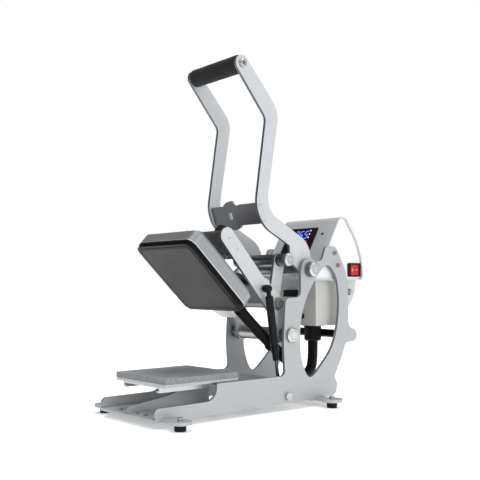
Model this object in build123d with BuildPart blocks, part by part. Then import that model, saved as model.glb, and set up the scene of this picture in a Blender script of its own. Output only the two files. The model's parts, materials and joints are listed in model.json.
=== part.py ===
"""Clamshell heat press, built from its separate pieces. Millimetres.

+X is the side with the gas spring, +Y points to the back, +Z is up, and the feet stand on Z = 0.
Places along Y are worked out from the line through the two front feet.
"""

from build123d import *
import os
from math import acos, atan2, ceil, cos, degrees, hypot, pi, radians, sin, tan

os.makedirs("parts", exist_ok=True)

# Footprint
front_feet_y = -224.5
feet_spread = 229.4
feet_depth = 338.9
foot_height = 10.8
foot_radius = 10.1
base_thickness = 5.0
ear_radius = 19.0

# Side plates
frame_width = 166.8
frame_thickness = 6.0

# Pivots, as distance behind the front feet and height
clamshell_back, clamshell_height = 268.8, 133.5
handle_back, handle_height = 317.0, 252.5
toggle_drop_back, toggle_rise = 43.5, 18.0
grip_back, grip_height = 165.2, 617.0
knee_back, knee_height = 257.5, 190.0
open_angle = 44.4

# Lower platen
platen_size = 152.4
pad_top = 75.8
pad_thickness = 9.0
pad_plate_thickness = 5.0
pad_back = 74.7

# Upper arm, links and handle, as inner faces and thicknesses across X
heater_arm_inner, heater_arm_thickness = 55.0, 6.0
link_inner, link_thickness = 42.0, 6.0
handle_arm_inner, handle_arm_thickness = 66.4, 6.0

# Round stock
clamshell_axle_radius = 8.0
handle_axle_radius = 8.0
toggle_shaft_radius = 7.0
clamshell_tube_radius = 12.5
handle_tube_radius = 11.0
toggle_tube_radius = 10.9
knee_tube_radius = 8.6

# Pressure adjuster: the heated platen comes down this far from its highest setting
adjust_travel = 10.5
adjust_turns = 3
screw_radius = 6.0

# Power rocker; the control box and the plates' upper corners follow its height
rocker_back, rocker_height = 450.0, 252.5

# Clearances
running_fit = 0.05
side_gap = 0.3
pad_gap = 0.3

# Derived values
toggle_back, toggle_height = handle_back - toggle_drop_back, handle_height + toggle_rise
frame_outer = frame_width / 2
frame_inner = frame_outer - frame_thickness
heater_arm_outer = heater_arm_inner + heater_arm_thickness
link_outer = link_inner + link_thickness
handle_arm_outer = handle_arm_inner + handle_arm_thickness
base_top = foot_height + base_thickness
rear_feet_y = front_feet_y + feet_depth
foot_x = feet_spread / 2


def at(back, height):
    """The (y, z) place of a point given by its distance behind the front feet and its height."""
    return (front_feet_y + back, height)


def turned(point, centre, angle):
    """The (y, z) point turned about a centre, positive from +Y towards +Z."""
    dy, dz = point[0] - centre[0], point[1] - centre[1]
    c, s = cos(radians(angle)), sin(radians(angle))
    return (centre[0] + c * dy - s * dz, centre[1] + s * dy + c * dz)


def distance(first, second):
    return hypot(second[0] - first[0], second[1] - first[1])


def heading(first, second):
    """The angle from one (y, z) point to another, from 0 to 360 degrees."""
    return degrees(atan2(second[1] - first[1], second[0] - first[0])) % 360


clamshell_pivot = at(clamshell_back, clamshell_height)
handle_pivot = at(handle_back, handle_height)
toggle_pivot = at(toggle_back, toggle_height)
knee_pivot = at(knee_back, knee_height)

# The closed pose of the toggle, just before its three pivots line up
crank = distance(handle_pivot, toggle_pivot)
link_length = distance(toggle_pivot, knee_pivot)
knee_closed = turned(knee_pivot, clamshell_pivot, open_angle)
reach = distance(handle_pivot, knee_closed)
lean = degrees(acos(min(1.0, (crank**2 + reach**2 - link_length**2) / (2 * crank * reach))))
handle_angle = heading(handle_pivot, knee_closed) - lean - heading(handle_pivot, toggle_pivot)
toggle_closed = turned(toggle_pivot, handle_pivot, handle_angle)
link_angle = heading(toggle_closed, knee_closed) - heading(toggle_pivot, knee_pivot) - handle_angle

# The heated platen's own plane at rest: X across, Y to the back edge, Z up through the platen
face_height_closed = pad_top + pad_gap + adjust_travel
face_centre_closed = at(pad_back, face_height_closed)
face_centre = turned(face_centre_closed, clamshell_pivot, -open_angle)
platen_up = (0, sin(radians(open_angle)), cos(radians(open_angle)))
platen_plane = Plane(origin=(0, *face_centre), x_dir=(1, 0, 0), z_dir=platen_up)


def save(part, name):
    part.label = name
    export_step(part, f"parts/{name}.step")


def both_sides(part):
    """The part and its mirror image across the middle plane, as two separate solids."""
    return Compound(children=[*part.solids(), *mirror(part, about=Plane.YZ).solids()])


def save_group(parts, name):
    """Write the right-hand pieces and their mirror images into one node, as separate solids."""
    solids = [solid for part in parts for solid in both_sides(part).solids()]
    save(Compound(children=solids), name)


def save_pair(part, name):
    """Write a right piece and its mirrored left piece, each in its own node."""
    save(part, f"{name}_right")
    save(mirror(part, about=Plane.YZ), f"{name}_left")


def barrel(centre, start_x, end_x, radius, bore=0.0, chamfer_end=0.0):
    """A round piece along X at a (y, z) centre, with an optional bore and a chamfered far end."""
    with BuildPart() as round_piece:
        with BuildSketch(Plane.YZ.offset(start_x)):
            with Locations(centre):
                Circle(radius)
                if bore:
                    Circle(bore, mode=Mode.SUBTRACT)
        extrude(amount=end_x - start_x)
        if chamfer_end:
            far_face = round_piece.faces().sort_by(Axis.X)[-1]
            rim = far_face.edges().sort_by(SortBy.LENGTH)[-1]
            chamfer(rim, chamfer_end)
    return round_piece.part


def outline(points):
    """A closed outline in (back, height) from corners given as (back, height, radius)."""
    FilletPolyline(
        *[at(back, height) for back, height, radius in points],
        radius=[radius for back, height, radius in points],
        close=True,
    )


def inset(points, wall):
    """The area of a closed outline, drawn in by a wall's thickness."""
    with BuildSketch() as area:
        with BuildLine():
            outline(points)
        make_face()
        offset(amount=-wall)
    return area.sketch


# Base plates

front_plate_front = -28.0
front_plate_rear = 152.0
front_plate_window = (22.0, 138.0)
window_half_width = 69.0
rib_thickness = 6.0
rib_land = 9.0
rear_plate_front = 318.0
rear_plate_rear = 352.0
foot_screw_radius = 3.0


def base_plate(front, rear, feet_y, window=None):
    """A flat plate between the side plates' outer faces with a rounded ear over each foot."""
    length = rear - front
    middle_y = front_feet_y + (front + rear) / 2
    with BuildPart() as plate:
        with BuildSketch(Plane.XY.offset(foot_height)):
            with Locations((0, middle_y)):
                Rectangle(frame_width, length)
            with Locations((-foot_x, feet_y), (foot_x, feet_y)):
                Circle(ear_radius)
            with Locations((0, feet_y)):
                Rectangle(feet_spread, 2 * ear_radius * 0.72)
            with Locations((-foot_x, feet_y), (foot_x, feet_y)):
                Circle(foot_screw_radius + side_gap, mode=Mode.SUBTRACT)
            if window:
                window_middle = front_feet_y + (window[0] + window[1]) / 2
                window_width = window_half_width - rib_land
                with Locations(
                    ((window_half_width + rib_land) / 2, window_middle),
                    (-(window_half_width + rib_land) / 2, window_middle),
                ):
                    RectangleRounded(window_width, window[1] - window[0], 6, mode=Mode.SUBTRACT)
        extrude(amount=base_thickness)
    return plate.part


save(base_plate(front_plate_front, front_plate_rear, front_feet_y, front_plate_window), "front_base_plate")
save(base_plate(rear_plate_front, rear_plate_rear, rear_feet_y), "rear_base_plate")

# Side plates

plate_lobe_radius = 21.0
lug_radius = 12.5
lug_back, lug_height = 431.5, 126.5
tie_bar_radius = 8.0
tie_end_radius = 5.5
tie_end_depth = 3.0
box_screws = ((383.0, rocker_height + 31.5), (392.0, rocker_height + 8.5))
box_screw_radius = 2.5
spring_foot_back, spring_foot_height = 258.0, 25.0
stud_radius = 4.0

side_plate_outline = [
    (-25.5, base_top, 0),
    (-29.0, 32.5, 9),
    (97.0, 33.5, 22),
    (97.5, 61.5, 2.5),
    (252.5, 61.5, 9),
    (249.0, 122.0, 300),
    (255.5, handle_height - 51.7, 10),
    (handle_back - 23.5, handle_height - 51.0, 12),
    (handle_back - 22.5, handle_height, 0),
    (handle_back, handle_height + 15.5, 0),
    (349.0, 268.5, 10),
    (360.5, rocker_height + 44.5, 9),
    (387.0, rocker_height + 44.5, 14),
    (412.0, 255.0, 60),
    (421.0, 222.0, 40),
    (420.5, 147.0, 14),
    (429.0, 140.0, 0),
    (429.0, 114.0, 0),
    (412.0, 113.0, 10),
    (402.0, 88.0, 60),
    (379.0, 50.0, 5),
    (388.0, 38.0, 10),
    (384.0, 20.0, 8),
    (376.0, base_top, 0),
    (rear_plate_front - 0.5, base_top, 0),
    (rear_plate_front - 0.5, foot_height + 2, 0),
    (front_plate_rear + 0.5, foot_height + 2, 0),
    (front_plate_rear + 0.5, base_top, 0),
]
almond_points = [
    (343, 248),
    (314, 211),
    (294, 165),
    (290, 124),
    (297, 79),
    (314, 54.5),
    (340, 70),
    (373, 105),
    (391, 155),
    (394, 207),
    (383, 246),
    (363, 261),
]

with BuildPart() as side_plate:
    with BuildSketch(Plane.YZ.offset(frame_inner)):
        with BuildLine():
            outline(side_plate_outline)
        make_face()
        with Locations(handle_pivot):
            Circle(plate_lobe_radius)
        with Locations(at(lug_back, lug_height)):
            Circle(lug_radius)
        with BuildLine(mode=Mode.PRIVATE) as almond:
            Spline([at(*point) for point in almond_points], periodic=True)
        make_face(almond.edges(), mode=Mode.SUBTRACT)
        with Locations(clamshell_pivot, handle_pivot):
            Circle(clamshell_axle_radius + running_fit, mode=Mode.SUBTRACT)
        with Locations(*[at(*place) for place in box_screws]):
            Circle(box_screw_radius + side_gap, mode=Mode.SUBTRACT)
        with Locations(at(spring_foot_back, spring_foot_height)):
            Circle(stud_radius + running_fit, mode=Mode.SUBTRACT)
    extrude(amount=frame_thickness)
    with BuildSketch(Plane.YZ.offset(frame_inner)):
        with Locations(at(lug_back, lug_height)):
            Circle(tie_end_radius + running_fit)
    extrude(amount=tie_end_depth, mode=Mode.SUBTRACT)
save_pair(side_plate.part, "side_plate")

# Centre rib and saddle that carry the lower platen

bracket_thickness = 3.0
saddle_thickness = 4.0
saddle_front, saddle_rear = 99.0, 236.0
saddle_leg = 22.0
spring_corner_x, spring_corner_depth = 50.0, 16.0
pad_plate_bottom = pad_top - pad_thickness - pad_plate_thickness
bracket_bottom = pad_plate_bottom - bracket_thickness
saddle_top = bracket_bottom
saddle_bottom = saddle_top - saddle_thickness

with BuildPart() as centre_rib:
    with BuildSketch(Plane.YZ.offset(-rib_thickness / 2)):
        with BuildLine():
            outline(
                [
                    (-26.0, base_top, 0),
                    (-29.0, 26.0, 5.5),
                    (52.0, 37.0, 40),
                    (120.0, saddle_bottom, 0),
                    (142.0, saddle_bottom, 0),
                    (142.0, base_top, 0),
                ]
            )
        make_face()
    extrude(amount=rib_thickness)
save(centre_rib.part, "centre_rib")

with BuildPart() as saddle:
    saddle_middle = front_feet_y + (saddle_front + saddle_rear) / 2
    with BuildSketch(Plane.XY.offset(saddle_bottom)):
        with Locations((0, saddle_middle)):
            Rectangle(2 * frame_inner, saddle_rear - saddle_front)
    extrude(amount=saddle_thickness)
    with BuildSketch(Plane.XY.offset(saddle_bottom - saddle_leg)):
        for side in (-1, 1):
            with Locations((side * (frame_inner - saddle_thickness / 2), saddle_middle)):
                Rectangle(saddle_thickness, saddle_rear - saddle_front)
    extrude(amount=saddle_leg)
    with BuildSketch(Plane.XY.offset(saddle_bottom - saddle_leg)):
        corner_width = frame_inner - spring_corner_x
        with Locations(((frame_inner + spring_corner_x) / 2, front_feet_y + saddle_rear)):
            Rectangle(corner_width, 2 * spring_corner_depth)
    extrude(amount=saddle_leg + saddle_thickness, mode=Mode.SUBTRACT)
save(saddle.part, "platen_saddle")

# Lower platen: bracket, plate and foam pad

bracket_half_width = 56.0
bracket_front, bracket_rear = 1.0, 150.0
bracket_lip = 7.0
bracket_flange = 9.0

with BuildPart() as bracket:
    bracket_middle = front_feet_y + (bracket_front + bracket_rear) / 2
    bracket_length = bracket_rear - bracket_front
    with BuildSketch(Plane.XY.offset(bracket_bottom)):
        with Locations((0, bracket_middle)):
            Rectangle(2 * bracket_half_width, bracket_length)
    extrude(amount=bracket_thickness)
    lip_length = saddle_front - bracket_front - 1
    lip_middle = front_feet_y + bracket_front + lip_length / 2
    for side in (-1, 1):
        with BuildSketch(Plane.XY.offset(bracket_bottom - bracket_lip)):
            with Locations((side * (bracket_half_width - bracket_thickness / 2), lip_middle)):
                Rectangle(bracket_thickness, lip_length)
        extrude(amount=bracket_lip)
        with BuildSketch(Plane.XY.offset(bracket_bottom - bracket_lip)):
            with Locations((side * (bracket_half_width - bracket_flange / 2), lip_middle)):
                Rectangle(bracket_flange, lip_length)
        extrude(amount=bracket_thickness)
    fillet(bracket.edges().filter_by(Axis.Z).group_by(Axis.Y)[0], 1.2)
save(bracket.part, "platen_bracket")

with BuildPart() as pad_plate:
    with BuildSketch(Plane.XY.offset(pad_plate_bottom)):
        with Locations((0, front_feet_y + pad_back)):
            RectangleRounded(platen_size, platen_size, 2.5)
    extrude(amount=pad_plate_thickness)
save(pad_plate.part, "lower_platen_plate")

with BuildPart() as foam_pad:
    with BuildSketch(Plane.XY.offset(pad_top - pad_thickness)):
        with Locations((0, front_feet_y + pad_back)):
            RectangleRounded(platen_size, platen_size, 2.0)
    extrude(amount=pad_thickness)
save(foam_pad.part, "foam_pad")

# Feet and screws of the base

foot_places = [(x, y) for x in (-foot_x, foot_x) for y in (front_feet_y, rear_feet_y)]
foot_screw_head_radius = 4.6
foot_screw_head_height = 5.5
socket_radius = 2.3

with BuildPart() as feet:
    with BuildSketch():
        with Locations(*foot_places):
            Circle(foot_radius - 1)
    with BuildSketch(Plane.XY.offset(foot_height)):
        with Locations(*foot_places):
            Circle(foot_radius)
            Circle(foot_screw_radius, mode=Mode.SUBTRACT)
    for place in foot_places:
        with Locations((*place, 0)):
            Cone(foot_radius - 1, foot_radius, foot_height, align=(Align.CENTER, Align.CENTER, Align.MIN))
    for place in foot_places:
        with Locations((*place, foot_height - 5)):
            Cylinder(
                foot_screw_radius,
                5,
                align=(Align.CENTER, Align.CENTER, Align.MIN),
                mode=Mode.SUBTRACT,
            )
save(feet.part, "rubber_feet")

with BuildPart() as foot_screws:
    for place in foot_places:
        with BuildSketch(Plane.XY.offset(foot_height - 5)):
            with Locations(place):
                Circle(foot_screw_radius)
        extrude(amount=5 + base_thickness)
        with BuildSketch(Plane.XY.offset(base_top)):
            with Locations(place):
                Circle(foot_screw_head_radius)
        extrude(amount=foot_screw_head_height)
        with BuildSketch(Plane.XY.offset(base_top + foot_screw_head_height)):
            with Locations(place):
                RegularPolygon(socket_radius, 6)
        extrude(amount=-2.8, mode=Mode.SUBTRACT)
    head_rims = foot_screws.edges().filter_by(GeomType.CIRCLE).group_by(Axis.Z)[-1]
    fillet(head_rims, 0.8)

plate_screw_places = [(x, front_feet_y + back) for x in (-38, 38, -14, 14) for back in (-14,)]
plate_screw_places += [(x, front_feet_y + feet_depth - 4) for x in (-52, 52)]

with BuildPart() as plate_screws:
    for place in plate_screw_places:
        with BuildSketch(Plane.XY.offset(base_top)):
            with Locations(place):
                Circle(3.4)
                RegularPolygon(1.6, 6, mode=Mode.SUBTRACT)
        extrude(amount=1.8)

box_panel_x = 71.8
with BuildPart() as box_screw:
    for place in box_screws:
        with BuildSketch(Plane.YZ.offset(box_panel_x)):
            with Locations(at(*place)):
                Circle(2 * box_screw_radius)
        extrude(amount=frame_inner - box_panel_x)
        with BuildSketch(Plane.YZ.offset(frame_inner)):
            with Locations(at(*place)):
                Circle(box_screw_radius)
        extrude(amount=frame_thickness)
        with BuildSketch(Plane.YZ.offset(frame_outer)):
            with Locations(at(*place)):
                Circle(4.4)
                RegularPolygon(1.8, 6, mode=Mode.SUBTRACT)
        extrude(amount=2.4)
all_frame_screws = [
    *foot_screws.part.solids(),
    *plate_screws.part.solids(),
    *both_sides(box_screw.part).solids(),
]
save(Compound(children=all_frame_screws), "frame_screws")

# Rear tie bar between the lugs

with BuildPart() as tie_bar:
    bar_centre = at(lug_back, lug_height)
    with BuildSketch(Plane.YZ.offset(-frame_inner)):
        with Locations(bar_centre):
            Circle(tie_bar_radius)
    extrude(amount=2 * frame_inner)
    for side in (-1, 1):
        with BuildSketch(Plane.YZ.offset(side * frame_inner)):
            with Locations(bar_centre):
                Circle(tie_end_radius)
        extrude(amount=side * tie_end_depth)
save(tie_bar.part, "rear_tie_bar")

# Clamshell axle and handle axle, with their caps, spacers and rings

cap_radius = 13.6
cap_height = 7.0
cap_chamfer = 2.6
ring_thickness = 1.6
ring_radius = 12.2
clamshell_spacer_radius = 11.4

clamshell_ring_start = heater_arm_outer + side_gap
clamshell_ring_end = clamshell_ring_start + ring_thickness
clamshell_bore = clamshell_axle_radius + running_fit
outer_spacer_radius = 13.6
outer_spacer_length = 8.5
outer_ring_radius = 14.4
inner_ring_radius = 13.0
handle_cap_radius = 13.0
handle_cap_height = 5.0
handle_bore = handle_axle_radius + running_fit
outer_ring_end = frame_outer + ring_thickness
outer_spacer_end = outer_ring_end + outer_spacer_length

clamshell_axle = barrel(clamshell_pivot, -frame_outer, frame_outer, clamshell_axle_radius)
handle_axle = barrel(handle_pivot, -outer_spacer_end, outer_spacer_end, handle_axle_radius)
save(Compound(children=[*clamshell_axle.solids(), *handle_axle.solids()]), "pivot_axles")

clamshell_cap_end = frame_outer + cap_height
handle_cap_end = outer_spacer_end + handle_cap_height
axle_caps = [
    barrel(clamshell_pivot, frame_outer, clamshell_cap_end, cap_radius, chamfer_end=cap_chamfer),
    barrel(handle_pivot, outer_spacer_end, handle_cap_end, handle_cap_radius, chamfer_end=cap_chamfer),
]
save_group(axle_caps, "axle_caps")
axle_spacers = [
    barrel(clamshell_pivot, clamshell_ring_end, frame_inner, clamshell_spacer_radius, clamshell_bore),
    barrel(handle_pivot, outer_ring_end, outer_spacer_end, outer_spacer_radius, handle_bore),
    barrel(clamshell_pivot, clamshell_ring_start, clamshell_ring_end, ring_radius, clamshell_bore),
    barrel(handle_pivot, frame_outer, outer_ring_end, outer_ring_radius, handle_bore),
    barrel(handle_pivot, handle_arm_outer + side_gap, frame_inner, inner_ring_radius, handle_bore),
]
save_group(axle_spacers, "axle_spacers")

# Handle arms

handle_end_radius = 14.8
handle_eye_radius = 13.5
toggle_eye_radius = 12.0
grip_screw_radius = 4.0
armature_back, armature_height = handle_back - 107.0, handle_height + 101.2
armature_slope = 71.5
armature_width = 38.5
armature_thickness = 6.0
armature_tab = 30.0

handle_arm_outline = [
    (grip_back - 10.8, grip_height - 10.2, 0),
    (grip_back + 55.3, grip_height - 90.5, 18),
    (handle_back - 125.5, handle_height + 87.5, 62),
    (toggle_back + 3.0, toggle_height + 26.5, 6),
    (toggle_back + 3.5, toggle_height + 1.5, 0),
    (toggle_back + 9.5, toggle_height - 8.0, 0),
    (handle_back - 14.0, handle_height - 3.0, 0),
    (handle_back + 13.0, handle_height - 2.5, 0),
    (handle_back + 13.5, handle_height + 47.5, 46),
    (handle_back - 98.0, handle_height + 107.0, 42),
    (grip_back + 86.3, grip_height - 75.0, 45),
    (grip_back + 11.0, grip_height + 9.8, 0),
]
armature_plane = Plane(
    origin=(0, *at(armature_back, armature_height)),
    x_dir=(1, 0, 0),
    z_dir=(0, sin(radians(armature_slope)), cos(radians(armature_slope))),
)

with BuildPart() as handle_arm:
    with BuildSketch(Plane.YZ.offset(handle_arm_inner)):
        with BuildLine():
            outline(handle_arm_outline)
        make_face()
        with Locations(at(grip_back, grip_height)):
            Circle(handle_end_radius)
        with Locations(handle_pivot):
            Circle(handle_eye_radius)
        with Locations(toggle_pivot):
            Circle(toggle_eye_radius)
        with Locations(at(grip_back, grip_height)):
            Circle(grip_screw_radius + side_gap, mode=Mode.SUBTRACT)
        with Locations(handle_pivot):
            Circle(handle_bore, mode=Mode.SUBTRACT)
        with Locations(toggle_pivot):
            Circle(toggle_shaft_radius, mode=Mode.SUBTRACT)
    extrude(amount=handle_arm_thickness)
    with BuildSketch(armature_plane.offset(-armature_thickness / 2)):
        with Locations((handle_arm_inner + handle_arm_thickness / 2, 0)):
            Rectangle(handle_arm_thickness, armature_tab)
    extrude(amount=armature_thickness, mode=Mode.SUBTRACT)
save_pair(handle_arm.part, "handle_arm")

# Armature plate with its disc, held by tabs in the handle arms

armature_disc_radius = 27.5
armature_disc_x = -10.5
armature_slot = (8.0, 13.0)

with BuildPart() as armature:
    with BuildSketch(armature_plane.offset(-armature_thickness / 2)):
        Rectangle(2 * handle_arm_inner, armature_width)
        Rectangle(2 * handle_arm_outer, armature_tab)
        with Locations((armature_disc_x, 0)):
            Circle(armature_disc_radius)
        with Locations((armature_disc_x - 3, 0)):
            RectangleRounded(armature_slot[0], armature_slot[1], 1.2, mode=Mode.SUBTRACT)
    extrude(amount=armature_thickness)
save(armature.part, "armature_plate")

# Grip

grip_radius = 16.5
grip_core_radius = 9.0
grip_screw_head = 3.2
grip_centre = at(grip_back, grip_height)

with BuildPart() as grip:
    with BuildSketch(Plane.YZ.offset(-handle_arm_inner + side_gap)):
        with Locations(grip_centre):
            Circle(grip_radius)
            Circle(grip_core_radius, mode=Mode.SUBTRACT)
    extrude(amount=2 * (handle_arm_inner - side_gap))
    grip_ends = grip.edges().filter_by(GeomType.CIRCLE).filter_by(lambda e: e.radius > grip_core_radius + 1)
    fillet(grip_ends, 2.5)
save(grip.part, "grip")

with BuildPart() as grip_core:
    with BuildSketch(Plane.YZ.offset(-handle_arm_inner)):
        with Locations(grip_centre):
            Circle(grip_core_radius)
    extrude(amount=2 * handle_arm_inner)
    for side in (-1, 1):
        with BuildSketch(Plane.YZ.offset(side * handle_arm_inner)):
            with Locations(grip_centre):
                Circle(grip_screw_radius + side_gap)
        extrude(amount=-side * 22, mode=Mode.SUBTRACT)

with BuildPart() as grip_screw:
    with BuildSketch(Plane.YZ.offset(handle_arm_inner - 20)):
        with Locations(grip_centre):
            Circle(grip_screw_radius)
    extrude(amount=20 + handle_arm_thickness)
    with BuildSketch(Plane.YZ.offset(handle_arm_outer)):
        with Locations(grip_centre):
            Circle(8.6)
    extrude(amount=1.4)
    with BuildSketch(Plane.YZ.offset(handle_arm_outer + 1.4)):
        with Locations(grip_centre):
            Circle(6.6)
    extrude(amount=grip_screw_head)
    chamfer(grip_screw.faces().sort_by(Axis.X)[-1].edges(), 1.2)
    with BuildSketch(Plane.YZ.offset(handle_arm_outer + 1.4 + grip_screw_head)):
        with Locations(grip_centre):
            RegularPolygon(2.9, 6)
    extrude(amount=-2.6, mode=Mode.SUBTRACT)
save(Compound(children=[*grip_core.part.solids(), *both_sides(grip_screw.part).solids()]), "grip_rod")

# Handle tube on its axle, and the toggle shaft with its tube, spacers and caps

toggle_washer_inner = link_inner - side_gap - ring_thickness
toggle_washer_outer = link_outer + side_gap + ring_thickness
toggle_washer_radius = 11.8
toggle_cap_end = frame_inner - 0.6

shaft = barrel(toggle_pivot, -handle_arm_outer, handle_arm_outer, toggle_shaft_radius)
shaft_cap = barrel(toggle_pivot, handle_arm_outer, toggle_cap_end, toggle_washer_radius, chamfer_end=2.0)
save(Compound(children=[*shaft.solids(), *both_sides(shaft_cap).solids()]), "toggle_shaft")
middle_tube = barrel(
    toggle_pivot, -toggle_washer_inner, toggle_washer_inner, toggle_tube_radius, toggle_shaft_radius
)
toggle_spacer = barrel(
    toggle_pivot, toggle_washer_outer, handle_arm_inner, toggle_tube_radius, toggle_shaft_radius
)
axle_tube = barrel(handle_pivot, -handle_arm_inner, handle_arm_inner, handle_tube_radius, handle_bore)
handle_tubes = [*axle_tube.solids(), *middle_tube.solids(), *both_sides(toggle_spacer).solids()]
save(Compound(children=handle_tubes), "handle_tubes")
washer_ends = (
    (toggle_washer_inner, link_inner - side_gap),
    (link_outer + side_gap, toggle_washer_outer),
)
toggle_washers = [
    barrel(toggle_pivot, start_x, end_x, toggle_washer_radius, toggle_shaft_radius)
    for start_x, end_x in washer_ends
]
save_group(toggle_washers, "toggle_washers")

# Toggle links with their cross tube

link_half_width = 13.0
knee_stub_radius = 9.0

with BuildPart() as link:
    with BuildSketch(Plane.YZ.offset(link_inner)):
        with Locations(toggle_pivot, knee_pivot):
            Circle(link_half_width)
        link_middle = (
            (toggle_pivot[0] + knee_pivot[0]) / 2,
            (toggle_pivot[1] + knee_pivot[1]) / 2,
        )
        with Locations(Location(link_middle, heading(toggle_pivot, knee_pivot))):
            Rectangle(link_length, 2 * link_half_width - 1)
        with Locations(toggle_pivot):
            Circle(toggle_shaft_radius + running_fit, mode=Mode.SUBTRACT)
        with Locations(knee_pivot):
            Circle(toggle_shaft_radius, mode=Mode.SUBTRACT)
    extrude(amount=link_thickness)
save_group([link.part], "toggle_links")

knee_end = heater_arm_inner - side_gap
knee_spacer = barrel(knee_pivot, link_outer, knee_end, knee_stub_radius, toggle_shaft_radius)
knee_shaft = barrel(knee_pivot, -knee_end, knee_end, toggle_shaft_radius)
knee_tube = barrel(knee_pivot, -link_inner, link_inner, knee_tube_radius, toggle_shaft_radius)
knee_pieces = [*knee_shaft.solids(), *knee_tube.solids(), *both_sides(knee_spacer).solids()]
save(Compound(children=knee_pieces), "knee_shaft")

# Heater arms

arm_tip_back, arm_tip_height = 139.5, 310.5
arm_half_width = 15.0
arm_slope = 48.9
arm_eye_radius = 15.5
knee_eye_radius = 14.5
yoke_height = 82.0
yoke_thickness = 6.0
yoke_tab = 26.5
yoke_tab_shift = -3.5
spring_top_back, spring_top_height = knee_back - 38.5, knee_height + 28.0
rear_yoke_tab = 10.0

arm_normal = (sin(radians(arm_slope)), cos(radians(arm_slope)))
tip_front = (
    arm_tip_back - arm_half_width * arm_normal[0],
    arm_tip_height - arm_half_width * arm_normal[1],
)
tip_rear = (
    arm_tip_back + arm_half_width * arm_normal[0],
    arm_tip_height + arm_half_width * arm_normal[1],
)
heater_arm_outline = [
    (*tip_front, 0),
    (knee_back - 4.0, knee_height - 36.0, 30),
    (clamshell_back - arm_eye_radius, clamshell_height, 0),
    (clamshell_back, clamshell_height, 0),
    (clamshell_back + arm_eye_radius - 1, clamshell_height + 2, 0),
    (knee_back + 15.5, knee_height - 4.0, 10),
    (knee_back + 5.0, knee_height + 14.0, 20),
    (knee_back - 20.0, knee_height + 36.0, 7),
    (knee_back - 23.5, knee_height + 43.5, 5),
    (knee_back - 35.5, knee_height + 48.5, 12),
    (*tip_rear, 0),
]

# The rear yoke plate lies just inside the arms' lower edge
rear_yoke_plane = Plane(
    origin=(0, *at(knee_back - 44.0, knee_height + 18.5)),
    x_dir=(1, 0, 0),
    z_dir=(0, arm_normal[0], arm_normal[1]),
)
rear_yoke_length = 42.0
rear_yoke_thickness = 4.0
rear_yoke_tab_shift = -11.0

with BuildPart() as heater_arm:
    with BuildSketch(Plane.YZ.offset(heater_arm_inner)):
        with BuildLine():
            outline(heater_arm_outline)
        make_face()
        with Locations(at(arm_tip_back, arm_tip_height)):
            Circle(arm_half_width)
        with Locations(clamshell_pivot):
            Circle(arm_eye_radius)
        with Locations(knee_pivot):
            Circle(knee_eye_radius)
        with Locations(clamshell_pivot):
            Circle(clamshell_bore, mode=Mode.SUBTRACT)
        with Locations(knee_pivot):
            Circle(toggle_shaft_radius, mode=Mode.SUBTRACT)
        with Locations(at(spring_top_back, spring_top_height)):
            Circle(stud_radius, mode=Mode.SUBTRACT)
    extrude(amount=heater_arm_thickness)
    with BuildSketch(platen_plane.offset(yoke_height - yoke_thickness / 2)):
        with Locations((heater_arm_inner + heater_arm_thickness / 2, yoke_tab_shift)):
            Rectangle(heater_arm_thickness, yoke_tab)
    extrude(amount=yoke_thickness, mode=Mode.SUBTRACT)
    with BuildSketch(rear_yoke_plane.offset(-rear_yoke_thickness / 2)):
        with Locations((heater_arm_inner + heater_arm_thickness / 2, rear_yoke_tab_shift)):
            Rectangle(heater_arm_thickness, rear_yoke_tab)
    extrude(amount=rear_yoke_thickness, mode=Mode.SUBTRACT)
save_pair(heater_arm.part, "heater_arm")

save(
    barrel(clamshell_pivot, -heater_arm_inner, heater_arm_inner, clamshell_tube_radius, clamshell_bore),
    "clamshell_tube",
)

# Yoke plates, the pressure screw's bush and the electromagnet

bush_radius = 13.0
bush_flange_radius = 18.0
bush_flange = 2.5
bush_drop = 8.0
yoke_front_reach = 34.0
yoke_rear_reach = 30.0
post_x = 35.0
post_y = 12.0
post_radius = 4.0

with BuildPart() as front_yoke:
    with BuildSketch(platen_plane.offset(yoke_height - yoke_thickness / 2)):
        with Locations((0, (yoke_rear_reach - yoke_front_reach) / 2)):
            Rectangle(2 * heater_arm_inner, yoke_front_reach + yoke_rear_reach)
        with Locations((0, yoke_tab_shift)):
            Rectangle(2 * heater_arm_outer, yoke_tab)
        Circle(bush_radius, mode=Mode.SUBTRACT)
        with Locations((-post_x, post_y), (post_x, post_y)):
            Circle(post_radius + side_gap, mode=Mode.SUBTRACT)
    extrude(amount=yoke_thickness)
save(front_yoke.part, "front_yoke_plate")

with BuildPart() as rear_yoke:
    with BuildSketch(rear_yoke_plane.offset(-rear_yoke_thickness / 2)):
        Rectangle(2 * heater_arm_inner, rear_yoke_length)
        with Locations((0, rear_yoke_tab_shift)):
            Rectangle(2 * heater_arm_outer, rear_yoke_tab)
    extrude(amount=rear_yoke_thickness)

with BuildPart() as screw_bush:
    yoke_top = yoke_height + yoke_thickness / 2
    with BuildSketch(platen_plane.offset(yoke_height - yoke_thickness / 2 - bush_drop)):
        Circle(bush_radius)
    extrude(amount=bush_drop + yoke_thickness)
    with BuildSketch(platen_plane.offset(yoke_top)):
        Circle(bush_flange_radius)
    extrude(amount=bush_flange)
    with BuildSketch(platen_plane.offset(yoke_height - yoke_thickness / 2 - bush_drop)):
        Circle(screw_radius + running_fit)
    extrude(amount=bush_drop + yoke_thickness + bush_flange, mode=Mode.SUBTRACT)
save(screw_bush.part, "screw_bush")

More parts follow.
